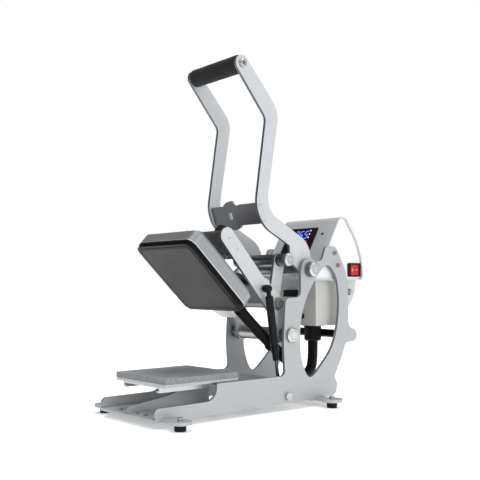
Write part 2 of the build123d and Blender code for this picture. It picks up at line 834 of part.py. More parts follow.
magnet_radius = 25.0
magnet_height = 28.0
magnet_gap = 0.5
magnet_foot = 6.0
armature_closed = turned(at(armature_back, armature_height), handle_pivot, handle_angle)
armature_closed_up = 90 - armature_slope + handle_angle
magnet_face_closed = (
    armature_closed[0] - (armature_thickness / 2 + magnet_gap) * cos(radians(armature_closed_up)),
    armature_closed[1] - (armature_thickness / 2 + magnet_gap) * sin(radians(armature_closed_up)),
)
magnet_face = turned(magnet_face_closed, clamshell_pivot, -open_angle)
magnet_up = armature_closed_up - open_angle
magnet_plane = Plane(
    origin=(0, *magnet_face),
    x_dir=(1, 0, 0),
    z_dir=(0, cos(radians(magnet_up)), sin(radians(magnet_up))),
)

with BuildPart() as magnet:
    with BuildSketch(magnet_plane.offset(-magnet_height)):
        with Locations((armature_disc_x, 0)):
            Circle(magnet_radius)
    extrude(amount=magnet_height)
    with BuildSketch(magnet_plane):
        with Locations((armature_disc_x, 0)):
            Circle(magnet_radius - 4)
            Circle(10, mode=Mode.SUBTRACT)
    extrude(amount=-2, mode=Mode.SUBTRACT)
save(magnet.part, "electromagnet")

with BuildPart() as magnet_bracket:
    with BuildSketch(magnet_plane.offset(-magnet_height - magnet_foot)):
        Rectangle(2 * heater_arm_inner, 26)
    extrude(amount=magnet_foot)
save(Compound(children=[*rear_yoke.part.solids(), *magnet_bracket.part.solids()]), "arm_cross_plates")

# Discs, pins and collars of the heater arms at the knee

knee_disc = 2.0
knee_disc_radius = 12.7
knee_pin_reach = 2.2
knee_collar_radius = 8.4
knee_disc_end = heater_arm_outer + knee_disc
knee_pin_end = knee_disc_end + knee_pin_reach
knee_caps = [
    barrel(knee_pivot, heater_arm_outer, knee_disc_end, knee_disc_radius, toggle_shaft_radius),
    barrel(knee_pivot, heater_arm_inner, knee_pin_end, toggle_shaft_radius),
    barrel(knee_pivot, knee_pin_end, knee_pin_end + 3, knee_collar_radius),
]
save_group(knee_caps, "knee_caps")

# Pressure screw with its knob

knob_radius = 17.0
knob_height = 21.0
knob_bottom = yoke_top + bush_flange + adjust_travel + 3
knob_lobes = 24
cover_top = 40.0
collar_height = 8.0
collar_radius = 11.0

with BuildPart() as pressure_knob:
    with BuildSketch(platen_plane.offset(knob_bottom)):
        Circle(knob_radius)
        with PolarLocations(knob_radius + 0.6, knob_lobes):
            Circle(1.5, mode=Mode.SUBTRACT)
    extrude(amount=knob_height)
    with BuildSketch(platen_plane.offset(knob_bottom)):
        Circle(screw_radius - 1.5)
    extrude(amount=knob_height - 5, mode=Mode.SUBTRACT)
    with BuildSketch(platen_plane.offset(knob_bottom + knob_height)):
        Circle(knob_radius - 4)
    extrude(amount=2.5)
save(pressure_knob.part, "pressure_knob")

with BuildPart() as pressure_screw:
    with BuildSketch(platen_plane.offset(cover_top + 0.3)):
        Circle(collar_radius - 1)
    extrude(amount=collar_height - 1.0)
    with BuildSketch(platen_plane.offset(cover_top + collar_height - 0.7)):
        Circle(screw_radius)
    extrude(amount=knob_bottom - (cover_top + collar_height - 0.7))
    with BuildSketch(platen_plane.offset(knob_bottom)):
        Circle(screw_radius - 1.5)
    extrude(amount=knob_height - 5)
save(pressure_screw.part, "pressure_screw")

# Heated platen: block, heating elements, edge band, cover and guide posts

block_thickness = 16.0
cover_wall = 2.0
cover_margin = 7.0
cover_side_height = 29.0
cover_lip = 7.5
cover_bevel = 9.0
corner_radius = 16.0
block_corner = 10.0
band_width = 2.4

with BuildPart() as heater_block:
    with BuildSketch(platen_plane):
        RectangleRounded(platen_size, platen_size, block_corner)
    extrude(amount=block_thickness)
    for offset_x in range(-54, 55, 36):
        with BuildSketch(platen_plane.offset(block_thickness)):
            with Locations((offset_x, 0)):
                SlotOverall(120, 8.6, rotation=90)
        extrude(amount=-8, mode=Mode.SUBTRACT)
save(heater_block.part, "heater_block")

with BuildPart() as element:
    for offset_x in range(-54, 55, 36):
        with BuildSketch(platen_plane.offset(block_thickness - 8)):
            with Locations((offset_x, 0)):
                SlotOverall(119, 8, rotation=90)
        extrude(amount=7.5)
save(element.part, "heating_elements")

band_outer = platen_size + 2 * band_width
with BuildPart() as edge_band:
    with BuildSketch(platen_plane.offset(0.6)):
        RectangleRounded(band_outer + 5.6, band_outer + 5.6, block_corner + band_width + 2.8)
        RectangleRounded(platen_size, platen_size, block_corner, mode=Mode.SUBTRACT)
    extrude(amount=cover_lip - 0.6)
save(edge_band.part, "edge_band")

cover_size = platen_size + 2 * cover_margin
with BuildPart() as cover:
    with BuildSketch(platen_plane.offset(cover_lip)):
        RectangleRounded(cover_size, cover_size, corner_radius)
    extrude(amount=cover_top - cover_lip)
    top_rim = cover.faces().sort_by(Axis((0, *face_centre), platen_up))[-1].edges()
    chamfer(top_rim, length=cover_top - cover_lip - cover_side_height + 5, length2=cover_bevel)
    inner = cover_size - 2 * cover_wall
    with BuildSketch(platen_plane.offset(cover_lip)):
        RectangleRounded(inner, inner, corner_radius - cover_wall)
    with BuildSketch(platen_plane.offset(cover_top - cover_wall - 6)):
        RectangleRounded(inner - 6, inner - 6, corner_radius - cover_wall)
    loft(mode=Mode.SUBTRACT)
    with BuildSketch(platen_plane.offset(cover_top - cover_wall - 6)):
        RectangleRounded(inner - 2 * cover_bevel, inner - 2 * cover_bevel, corner_radius - cover_wall - 4)
    extrude(amount=6, mode=Mode.SUBTRACT)
save(cover.part, "heater_cover")

with BuildPart() as mount_posts:
    for place in ((-post_x, post_y), (post_x, post_y)):
        with BuildSketch(platen_plane.offset(cover_top)):
            with Locations(place):
                Circle(post_radius)
        extrude(amount=yoke_height + yoke_thickness / 2 + 4 - cover_top + adjust_travel)
        with BuildSketch(platen_plane.offset(cover_top)):
            with Locations(place):
                Circle(7)
        extrude(amount=8)
save(mount_posts.part, "guide_posts")

# Gas spring, lower end first: B is its own axis, from the frame's stud to the heater arm's stud

spring_foot = (62.5, *at(spring_foot_back, spring_foot_height))
spring_top = (76.5, *at(spring_top_back, spring_top_height))
spring_axis = Vector(*spring_top) - Vector(*spring_foot)
spring_length = spring_axis.length
spring_plane = Plane(origin=spring_foot, z_dir=spring_axis)
rod_radius = 3.0
rod_length = 128.0
rod_end_radius, rod_end_length = 5.5, 17.0
ball_radius = 5.0
ball_cup_radius = 8.2
neck_radius = 3.0
spring_cap_bottom, spring_cap_radius = 66.0, 5.9
spring_tube_bottom, spring_tube_radius = 81.0, 7.2
spring_tube_top = spring_length - 14
spring_neck_radius = 4.2
top_cup_radius = 7.3
top_cup_bore = 6.1
top_stud_radius = 2.4
hex_radius = 7.4

with BuildPart() as spring_rod:
    with Locations(spring_foot):
        Sphere(ball_cup_radius)
    with BuildSketch(spring_plane):
        Circle(rod_end_radius)
    extrude(amount=rod_end_length)
    with BuildSketch(spring_plane):
        Circle(rod_radius)
    extrude(amount=rod_length)
    with Locations(spring_foot):
        Sphere(ball_radius + side_gap, mode=Mode.SUBTRACT)
    with BuildSketch(Plane.YZ.offset(spring_foot[0])):
        with Locations(at(spring_foot_back, spring_foot_height)):
            Circle(neck_radius + 1)
    extrude(amount=ball_cup_radius + 1, mode=Mode.SUBTRACT)
save(spring_rod.part, "gas_spring_rod")

with BuildPart() as spring_tube:
    with BuildSketch(spring_plane.offset(spring_tube_bottom)):
        Circle(spring_tube_radius)
        Circle(rod_radius + running_fit, mode=Mode.SUBTRACT)
    extrude(amount=spring_tube_top - spring_tube_bottom)
    top_edge = spring_tube.edges().filter_by(GeomType.CIRCLE).sort_by(Axis.Z)[-2:]
    fillet(top_edge.sort_by(SortBy.LENGTH)[-1], 1.4)
with BuildPart() as spring_cap:
    with BuildSketch(spring_plane.offset(spring_cap_bottom)):
        Circle(spring_cap_radius)
        Circle(rod_radius + running_fit, mode=Mode.SUBTRACT)
    extrude(amount=spring_tube_bottom - spring_cap_bottom)
with BuildPart() as spring_cup:
    with Locations(spring_top):
        Sphere(top_cup_radius)
    with BuildSketch(Plane.YZ.offset(spring_top[0] - ball_radius - 1.5)):
        with Locations(at(spring_top_back, spring_top_height)):
            Circle(top_cup_radius)
    extrude(amount=ball_radius + 1.5)
    with BuildSketch(spring_plane.offset(spring_tube_top)):
        Circle(spring_neck_radius)
    extrude(amount=spring_length - spring_tube_top - 3)
    with BuildSketch(Plane.YZ.offset(spring_top[0])):
        with Locations(at(spring_top_back, spring_top_height)):
            Circle(top_cup_bore)
    extrude(amount=-2 * top_cup_radius, mode=Mode.SUBTRACT)
    split(bisect_by=Plane.YZ.offset(spring_top[0] - ball_radius - 1.5), keep=Keep.TOP)
spring_parts = [*spring_tube.part.solids(), *spring_cap.part.solids(), *spring_cup.part.solids()]
save(Compound(children=spring_parts), "gas_spring_cylinder")

with BuildPart() as foot_stud:
    with Locations(spring_foot):
        Sphere(ball_radius)
    stud_steps = (
        (spring_foot[0], frame_inner, neck_radius),
        (frame_inner, frame_outer, stud_radius),
    )
    for start_x, end_x, radius in stud_steps:
        with BuildSketch(Plane.YZ.offset(start_x)):
            with Locations(at(spring_foot_back, spring_foot_height)):
                Circle(radius)
        extrude(amount=end_x - start_x)
    with BuildSketch(Plane.YZ.offset(frame_outer)):
        with Locations(at(spring_foot_back, spring_foot_height)):
            RegularPolygon(hex_radius, 6)
    extrude(amount=5)
save(foot_stud.part, "spring_foot_stud")

with BuildPart() as top_stud:
    stud_tip = spring_top[0] - ball_radius - 1
    with BuildSketch(Plane.YZ.offset(heater_arm_inner)):
        with Locations(at(spring_top_back, spring_top_height)):
            Circle(stud_radius)
    extrude(amount=heater_arm_thickness)
    with BuildSketch(Plane.YZ.offset(heater_arm_outer)):
        with Locations(at(spring_top_back, spring_top_height)):
            RegularPolygon(hex_radius, 6)
    extrude(amount=5)
    with BuildSketch(Plane.YZ.offset(heater_arm_outer)):
        with Locations(at(spring_top_back, spring_top_height)):
            Circle(top_stud_radius)
    extrude(amount=stud_tip - heater_arm_outer)
save(top_stud.part, "spring_top_stud")

# Conduit from the heated platen to the control box

conduit_radius = 10.2
conduit_x = 44.0
conduit_rise = 18.0
gland_length = 8.0
tie_width = 7.0
tie_wall = 2.2
relief_flange_radius, relief_flange_height = 20.5, 3.5
relief_nut_radius, relief_nut_length = 17.0, 29.5
relief_back = 406.0
housing_bottom = rocker_height - 107.5
relief_bottom = housing_bottom - relief_flange_height - relief_nut_length

conduit_exit = platen_plane.from_local_coords((conduit_x, cover_size / 2 + gland_length, conduit_rise))
conduit_turn = platen_plane.from_local_coords((conduit_x, cover_size / 2 + 48, conduit_rise))
conduit_tie = Vector(conduit_x, *at(254.5, 115.4))
tie_direction = (conduit_tie - conduit_turn).normalized()
upper_route = [conduit_exit, conduit_turn, conduit_tie]
lower_route = [
    conduit_tie,
    conduit_tie + tie_direction * 35,
    Vector(38, *at(310.5, 74.0)),
    Vector(20, *at(342.0, 58.5)),
    Vector(6, *at(370.5, 46.0)),
    Vector(1, *at(393.0, 49.0)),
    Vector(0, *at(relief_back, 68.0)),
    Vector(0, *at(relief_back, relief_bottom)),
]


def route_radii(route):
    """Each corner's radius: 0.45 of its shorter run, divided by the tangent of half its turn."""
    radii = []
    for before, corner, after in zip(route, route[1:], route[2:]):
        turn = (corner - before).get_angle(after - corner)
        shorter = min((corner - before).length, (after - corner).length)
        radii.append(0.45 * shorter / tan(radians(turn / 2)))
    return radii


def conduit_span(route, name):
    """A plain tube along straight runs joined by tangent arcs."""
    radii = route_radii(route)
    with BuildPart() as span:
        with BuildLine() as path:
            FilletPolyline(*route, radius=radii)
        with BuildSketch(path.line ^ 0):
            Circle(conduit_radius)
        sweep()
    length = path.wires()[0].length
    expected = pi * conduit_radius**2 * length
    print(name, "radii", [round(radius, 1) for radius in radii])
    print(name, "length", round(length, 1), "volume ratio", round(span.part.volume / expected, 4))
    save(span.part, name)


conduit_span(upper_route, "conduit_upper")
conduit_span(lower_route, "conduit_lower")

with BuildPart() as conduit_bracket:
    bracket_inner_y = (band_outer + 5.6) / 2
    with BuildSketch(platen_plane.offset(1)):
        with BuildLine():
            FilletPolyline(
                (-6, bracket_inner_y),
                (6, 99),
                (48, 99),
                (48, bracket_inner_y),
                radius=[0, 9, 3, 0],
                close=True,
            )
        make_face()
    extrude(amount=2)
    with BuildSketch(platen_plane.offset(3)):
        with Locations((47.2, bracket_inner_y + 3)):
            Rectangle(1.6, 6)
    extrude(amount=cover_lip - 3.0)
    with BuildSketch(platen_plane.offset(cover_lip)):
        with Locations((24, cover_size / 2 + 0.75)):
            Rectangle(50, 1.5)
        with Locations((24, bracket_inner_y + 1)):
            Rectangle(50, 2, mode=Mode.PRIVATE)
    extrude(amount=6)
save(conduit_bracket.part, "conduit_bracket")

# Control box: shroud, side panels and lower housing

shroud_half_width = 76.0
shroud_wall = 2.5
panel_wall = 2.0
housing_half_width = 55.0
housing_front, housing_rear = 360.0, 475.0
housing_top = rocker_height - 20.5
housing_wall = 2.5
shroud_low = (335.0, housing_top)
shroud_high = (415.03, rocker_height + 116.3)
shroud_outline = [
    (*shroud_low, 0),
    (*shroud_high, 16),
    (454.7, rocker_height + 61.1, 70),
    (470.7, rocker_height + 21.9, 80),
    (473.5, rocker_height - 14.0, 5),
    (466.0, housing_top, 0),
]
housing_outline = [
    (housing_front, housing_top, 0),
    (housing_front, housing_bottom, 0),
    (424.0, housing_bottom, 20),
    (446.0, rocker_height - 80.5, 20),
    (470.0, rocker_height - 49.5, 24),
    (housing_rear, housing_top, 0),
]

panel_slope = heading(shroud_low, shroud_high)
display_x = -9.0
display_rise = 89.7
display_centre = (
    display_x,
    *at(
        shroud_low[0] + display_rise * cos(radians(panel_slope)),
        shroud_low[1] + display_rise * sin(radians(panel_slope)),
    ),
)
display_width, display_height, display_thickness = 80.0, 61.0, 2.5
display_plane = Plane(
    origin=display_centre,
    x_dir=(1, 0, 0),
    z_dir=(0, -sin(radians(panel_slope)), cos(radians(panel_slope))),
)
key_places = ((-24.0, -19.0), (0.0, -19.0), (24.0, -19.0))
key_names = ("set", "minus", "plus")
key_radius = 5.4
key_flange_radius = 6.8
key_travel = 0.8
light_places = ((23.0, 24.0), (23.0, 16.0), (23.0, 8.0))

rocker_opening = (27.6, 20.6)
rocker_half_length, rocker_depth = 12.6, 20.0
rocker_tilt = 7.0
rocker_pivot_x = 68.0
rocker_pin_radius, rocker_pin_length = 1.5, 1.2
bezel_flange = (37.0, 27.0)
bezel_body = (31.0, 24.0)
bezel_thickness = 2.0

with BuildPart() as shroud:
    with BuildSketch(Plane.YZ.offset(-shroud_half_width)):
        with BuildLine():
            outline(shroud_outline)
        make_face()
        offset(amount=-shroud_wall, mode=Mode.SUBTRACT)
    extrude(amount=2 * shroud_half_width)
    with BuildSketch(display_plane):
        Rectangle(display_width - 6, display_height - 6)
    extrude(amount=-2 * shroud_wall, mode=Mode.SUBTRACT)
save(shroud.part, "control_shroud")

with BuildPart() as side_panel:
    with BuildSketch(Plane.YZ.offset(box_panel_x - panel_wall)):
        add(inset(shroud_outline, shroud_wall))
    extrude(amount=panel_wall)
left_panel = mirror(side_panel.part, about=Plane.YZ)
with BuildPart() as right_panel:
    add(side_panel.part)
    with BuildSketch(Plane.YZ.offset(box_panel_x - panel_wall)):
        with Locations(at(rocker_back, rocker_height)):
            Rectangle(*bezel_body)
    extrude(amount=panel_wall, mode=Mode.SUBTRACT)
save(Compound(children=[*right_panel.part.solids(), *left_panel.solids()]), "side_panels")

with BuildPart() as housing:
    with BuildSketch(Plane.YZ.offset(-housing_half_width)):
        with BuildLine():
            outline(housing_outline)
        make_face()
    extrude(amount=2 * housing_half_width)
    with BuildSketch(Plane.YZ.offset(-housing_half_width + housing_wall)):
        add(inset(housing_outline, housing_wall))
    extrude(amount=2 * (housing_half_width - housing_wall), mode=Mode.SUBTRACT)
save(housing.part, "lower_housing")

# Display, its lights, keys and circuit board

with BuildPart() as display:
    with BuildSketch(display_plane):
        RectangleRounded(display_width, display_height, 2)
        with Locations(*key_places):
            Circle(key_radius + side_gap, mode=Mode.SUBTRACT)
    extrude(amount=display_thickness)
save(display.part, "display_panel")

with BuildPart() as lights:
    with BuildSketch(display_plane.offset(display_thickness)):
        with Locations(*light_places):
            Circle(1.6)
    extrude(amount=0.6)
save(lights.part, "indicator_lights")

for place, key_name in zip(key_places, key_names):
    with BuildPart() as key:
        with BuildSketch(display_plane.offset(-4)):
            with Locations(place):
                Circle(key_radius)
        extrude(amount=4 + display_thickness + 1.2)
        key_rim = key.faces().filter_by(GeomType.PLANE).sort_by(Axis(display_centre, display_plane.z_dir))[-1]
        fillet(key_rim.edges(), 0.5)
        with BuildSketch(display_plane.offset(-side_gap - 2)):
            with Locations(place):
                Circle(key_flange_radius)
        extrude(amount=2)
    save(key.part, f"key_{key_name}")

board_depth = 8.0
board_thickness = 1.6
with BuildPart() as board:
    with BuildSketch(display_plane.offset(-board_depth)):
        Rectangle(display_width, display_height)
    extrude(amount=board_thickness)
    with BuildSketch(display_plane.offset(-board_depth)):
        for corner_x in (-1, 1):
            for corner_y in (-1, 1):
                with Locations((corner_x * (display_width / 2 - 1), corner_y * (display_height / 2 - 1))):
                    Circle(1.8)
    extrude(amount=board_depth - shroud_wall)
save(board.part, "circuit_board")

# Power rocker in its bezel on the right side panel

with BuildPart() as bezel:
    with BuildSketch(Plane.YZ.offset(box_panel_x)):
        with Locations(at(rocker_back, rocker_height)):
            RectangleRounded(*bezel_flange, 3)
    extrude(amount=bezel_thickness)
    with BuildSketch(Plane.YZ.offset(box_panel_x - 14)):
        with Locations(at(rocker_back, rocker_height)):
            Rectangle(*bezel_body)
    extrude(amount=14)
    with BuildSketch(Plane.YZ.offset(box_panel_x - 12)):
        with Locations(at(rocker_back, rocker_height)):
            Rectangle(*rocker_opening)
    extrude(amount=12 + bezel_thickness, mode=Mode.SUBTRACT)
    rocker_middle_y = front_feet_y + rocker_back
    pin_reach = rocker_depth / 2 + rocker_pin_length
    with BuildSketch(Plane.XY.offset(rocker_height - pin_reach)):
        with Locations((rocker_pivot_x, rocker_middle_y)):
            Circle(rocker_pin_radius + running_fit)
    extrude(amount=2 * pin_reach, mode=Mode.SUBTRACT)

rocker_plane = Plane(
    origin=(rocker_pivot_x, rocker_middle_y, rocker_height - rocker_depth / 2),
    x_dir=(sin(radians(rocker_tilt)), -cos(radians(rocker_tilt)), 0),
    z_dir=(0, 0, 1),
)
rocker_profile = [
    (-rocker_half_length, -3.0),
    (-rocker_half_length, 6.4),
    (0, 4.8),
    (rocker_half_length, 6.4),
    (rocker_half_length, -3.0),
    (0, -5.0),
]
with BuildPart() as rocker:
    with BuildSketch(rocker_plane):
        with BuildLine():
            Polyline(*rocker_profile, close=True)
        make_face()
    extrude(amount=rocker_depth)
    with BuildSketch(Plane.XY.offset(rocker_height - pin_reach)):
        with Locations((rocker_pivot_x, rocker_middle_y)):
            Circle(rocker_pin_radius)
    extrude(amount=2 * pin_reach)
save(rocker.part, "power_rocker")

# Strain relief, mains inlet, front connector and small fittings of the lower housing

inlet_back, inlet_height = 415.0, rocker_height - 52.5
with BuildPart() as relief_flange:
    with BuildSketch(Plane.XY.offset(housing_bottom - relief_flange_height)):
        with Locations((0, front_feet_y + relief_back)):
            Circle(relief_flange_radius)
    extrude(amount=relief_flange_height)
with BuildPart() as relief_nut:
    with BuildSketch(Plane.XY.offset(relief_bottom)):
        with Locations((0, front_feet_y + relief_back)):
            Circle(relief_nut_radius)
            with PolarLocations(relief_nut_radius + 0.5, 12):
                Circle(1.6, mode=Mode.SUBTRACT)
    extrude(amount=relief_nut_length)
    nut_bottom = relief_nut.faces().sort_by(Axis.Z)[0]
    chamfer(nut_bottom.edges(), 3.0)
save(Compound(children=[*relief_flange.part.solids(), *relief_nut.part.solids()]), "strain_relief")

with BuildPart() as inlet:
    with BuildSketch(Plane.YZ.offset(-housing_half_width)):
        with Locations(at(inlet_back, inlet_height)):
            RectangleRounded(50, 26, 4)
    extrude(amount=-2.5)
    with BuildSketch(Plane.YZ.offset(-housing_half_width - 2.5)):
        with Locations(at(inlet_back, inlet_height)):
            RectangleRounded(27, 19, 3)
    extrude(amount=-2)
    with BuildSketch(Plane.YZ.offset(-housing_half_width - 4.5)):
        with Locations(at(inlet_back, inlet_height)):
            RectangleRounded(24, 16, 2.5)
    extrude(amount=3.5, mode=Mode.SUBTRACT)
with BuildPart() as connector:
    with BuildSketch(Plane.XZ.offset(-(front_feet_y + housing_front))):
        with Locations((-10, rocker_height - 45.5)):
            Rectangle(34, 13.5)
    extrude(amount=8)
with BuildPart() as small_knob:
    with BuildSketch(Plane.XZ.offset(-(front_feet_y + housing_front))):
        with Locations((18, rocker_height - 89.5)):
            Circle(5.5)
    extrude(amount=6)
fitting_parts = (bezel.part, inlet.part, connector.part, small_knob.part)
box_fittings = [solid for part in fitting_parts for solid in part.solids()]
save(Compound(children=box_fittings), "box_fittings")

# Conduit tie, which holds the conduit against the clamshell tube

with BuildPart() as tie:
    tie_plane = Plane(origin=conduit_tie, x_dir=(1, 0, 0), z_dir=tie_direction)
    with BuildSketch(tie_plane.offset(-tie_width / 2)):
        Circle(conduit_radius + side_gap + tie_wall)
        Circle(conduit_radius + side_gap, mode=Mode.SUBTRACT)
    extrude(amount=tie_width)
    with BuildSketch(Plane.YZ.offset(conduit_x - 2 * conduit_radius)):
        with Locations(clamshell_pivot):
            Circle(clamshell_tube_radius)
    extrude(amount=4 * conduit_radius, mode=Mode.SUBTRACT)
save(tie.part, "conduit_tie")

# Figures for the record: the joints' places, ranges and ratios

spring_top_closed = turned(at(spring_top_back, spring_top_height), clamshell_pivot, open_angle)
spring_foot_place = at(spring_foot_back, spring_foot_height)
spring_flat = distance(spring_foot_place, at(spring_top_back, spring_top_height))
spring_flat_closed = distance(spring_foot_place, spring_top_closed)
spring_swing = heading(spring_foot_place, spring_top_closed)
spring_swing -= heading(spring_foot_place, at(spring_top_back, spring_top_height))
spring_stroke = (spring_flat - spring_flat_closed) * spring_length / spring_flat
print("handle range", round(handle_angle, 4), "link range", round(link_angle, 4))
print("spring swing", round(spring_swing, 4), "spring stroke", round(spring_stroke, 3))
print("spring axis", [round(value, 5) for value in spring_axis.normalized()])
print("knob radians per metre", round(adjust_turns * 2 * pi / adjust_travel * 1000, 4))
print("pivots", clamshell_pivot, handle_pivot, toggle_pivot, knee_pivot, spring_foot)
print("platen", [round(value, 3) for value in face_centre], [round(value, 5) for value in platen_up])
print("display", display_centre, [round(value, 5) for value in display_plane.z_dir])
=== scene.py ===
import json
import math

import bmesh
import bpy
from mathutils import Matrix, Vector


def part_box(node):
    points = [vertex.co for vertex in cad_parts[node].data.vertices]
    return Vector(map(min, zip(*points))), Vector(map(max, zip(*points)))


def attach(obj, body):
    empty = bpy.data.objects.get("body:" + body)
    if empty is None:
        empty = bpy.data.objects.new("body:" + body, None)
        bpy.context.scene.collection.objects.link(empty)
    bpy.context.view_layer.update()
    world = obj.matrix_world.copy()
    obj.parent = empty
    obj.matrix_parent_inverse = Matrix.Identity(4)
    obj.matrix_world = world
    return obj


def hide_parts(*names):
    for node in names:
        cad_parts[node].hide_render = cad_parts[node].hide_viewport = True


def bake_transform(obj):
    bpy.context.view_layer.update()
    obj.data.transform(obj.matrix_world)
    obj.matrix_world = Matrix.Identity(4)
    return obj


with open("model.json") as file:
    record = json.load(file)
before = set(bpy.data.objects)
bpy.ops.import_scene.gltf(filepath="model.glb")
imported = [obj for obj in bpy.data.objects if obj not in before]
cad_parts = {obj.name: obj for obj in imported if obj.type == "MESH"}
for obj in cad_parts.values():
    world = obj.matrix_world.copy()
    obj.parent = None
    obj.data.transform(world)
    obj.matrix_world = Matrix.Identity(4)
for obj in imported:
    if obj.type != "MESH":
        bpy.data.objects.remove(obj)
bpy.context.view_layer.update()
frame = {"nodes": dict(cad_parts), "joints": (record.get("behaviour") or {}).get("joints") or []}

mm = 0.001

# Directions and places that come from the frame's joints

joints = {joint["name"]: joint for joint in frame["joints"]}
platen_down = Vector(joints["platen_height"]["axis"]).normalized()
platen_up = -platen_down
platen_centre = Vector(joints["knob_turn"]["pos_m"])
platen_back = platen_up.cross(Vector((1, 0, 0)))
key_in = Vector(joints["key_set_press"]["axis"]).normalized()
display_out = -key_in


def middle(node):
    low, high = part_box(node)
    return (low + high) / 2


# Camera and stage

camera_place = Vector((1.1105, -0.9302, 0.2327))
camera_yaw, camera_pitch, camera_roll = 50.254, 2.99, -0.297
camera_lens = 58.24


def make_camera():
    yaw, pitch, roll = (math.radians(a) for a in (camera_yaw, camera_pitch, camera_roll))
    forward = Vector((
        -math.sin(yaw) * math.cos(pitch),
        math.cos(yaw) * math.cos(pitch),
        math.sin(pitch),
    ))
    level = Vector((math.cos(yaw), math.sin(yaw), 0))
    above = level.cross(forward)
    right = math.cos(roll) * level + math.sin(roll) * above
    up = -math.sin(roll) * level + math.cos(roll) * above
    data = bpy.data.cameras.new("camera")
    data.lens = camera_lens
    data.sensor_width = 36
    camera = bpy.data.objects.new("camera", data)
    turn = Matrix((right, up, -forward)).transposed().to_4x4()
    camera.matrix_world = Matrix.Translation(camera_place) @ turn
    bpy.context.scene.collection.objects.link(camera)
    bpy.context.scene.camera = camera


def sun_light(name, towards, strength, spread):
    """A large soft light from a direction, as even as a studio's light bank."""
    data = bpy.data.lights.new(name, "SUN")
    data.energy = strength
    data.angle = math.radians(spread)
    light = bpy.data.objects.new(name, data)
    light.location = Vector(towards).normalized() * 3
    light.rotation_euler = Vector(towards).to_track_quat("Z", "Y").to_euler()
    bpy.context.scene.collection.objects.link(light)


def make_stage():
    scene = bpy.context.scene
    scene.view_settings.view_transform = "Standard"
    world = bpy.data.worlds.new("studio")
    world.use_nodes = True
    tree = world.node_tree
    place = tree.nodes.new("ShaderNodeTexCoord")
    towards = tree.nodes.new("ShaderNodeVectorMath")
    towards.operation = "DOT_PRODUCT"
    towards.inputs[1].default_value = Vector((0.85, 0.20, 0.45)).normalized()
    shade = tree.nodes.new("ShaderNodeMapRange")
    shade.interpolation_type = "SMOOTHSTEP"
    shade.inputs["From Min"].default_value = -0.35
    shade.inputs["From Max"].default_value = 0.95
    shade.inputs["To Min"].default_value = 0.06
    shade.inputs["To Max"].default_value = 0.75
    seen = tree.nodes.new("ShaderNodeLightPath")
    larger = tree.nodes.new("ShaderNodeMath")
    larger.operation = "MAXIMUM"
    tree.links.new(place.outputs["Generated"], towards.inputs[0])
    tree.links.new(towards.outputs["Value"], shade.inputs["Value"])
    tree.links.new(shade.outputs["Result"], larger.inputs[0])
    tree.links.new(seen.outputs["Is Camera Ray"], larger.inputs[1])
    tree.links.new(larger.outputs["Value"], tree.nodes["Background"].inputs["Strength"])
    tree.nodes["Background"].inputs["Color"].default_value = (1.0, 1.0, 1.0, 1)
    scene.world = world
    sun_light("top_light", (-0.12, 0.22, 1.0), 2.1, 36)
    sun_light("side_light", (1.0, -0.06, 0.16), 1.10, 34)
    sun_light("front_light", (0.05, -0.85, 0.95), 0.75, 26)
    bm = bmesh.new()
    bmesh.ops.create_circle(bm, cap_ends=True, segments=96, radius=14)
    mesh = bpy.data.meshes.new("floor")
    bm.to_mesh(mesh)
    bm.free()
    floor = bpy.data.objects.new("floor", mesh)
    bpy.context.scene.collection.objects.link(floor)
    material = bpy.data.materials.new("floor_white")
    material.use_nodes = True
    shader = material.node_tree.nodes["Principled BSDF"]
    shader.inputs["Base Color"].default_value = (0.94, 0.94, 0.94, 1)
    shader.inputs["Roughness"].default_value = 0.75
    shader.inputs["Specular IOR Level"].default_value = 0.15
    shader.inputs["Emission Color"].default_value = (1, 1, 1, 1)
    shader.inputs["Emission Strength"].default_value = 0.30
    mesh.materials.append(material)


make_camera()
make_stage()

# Materials


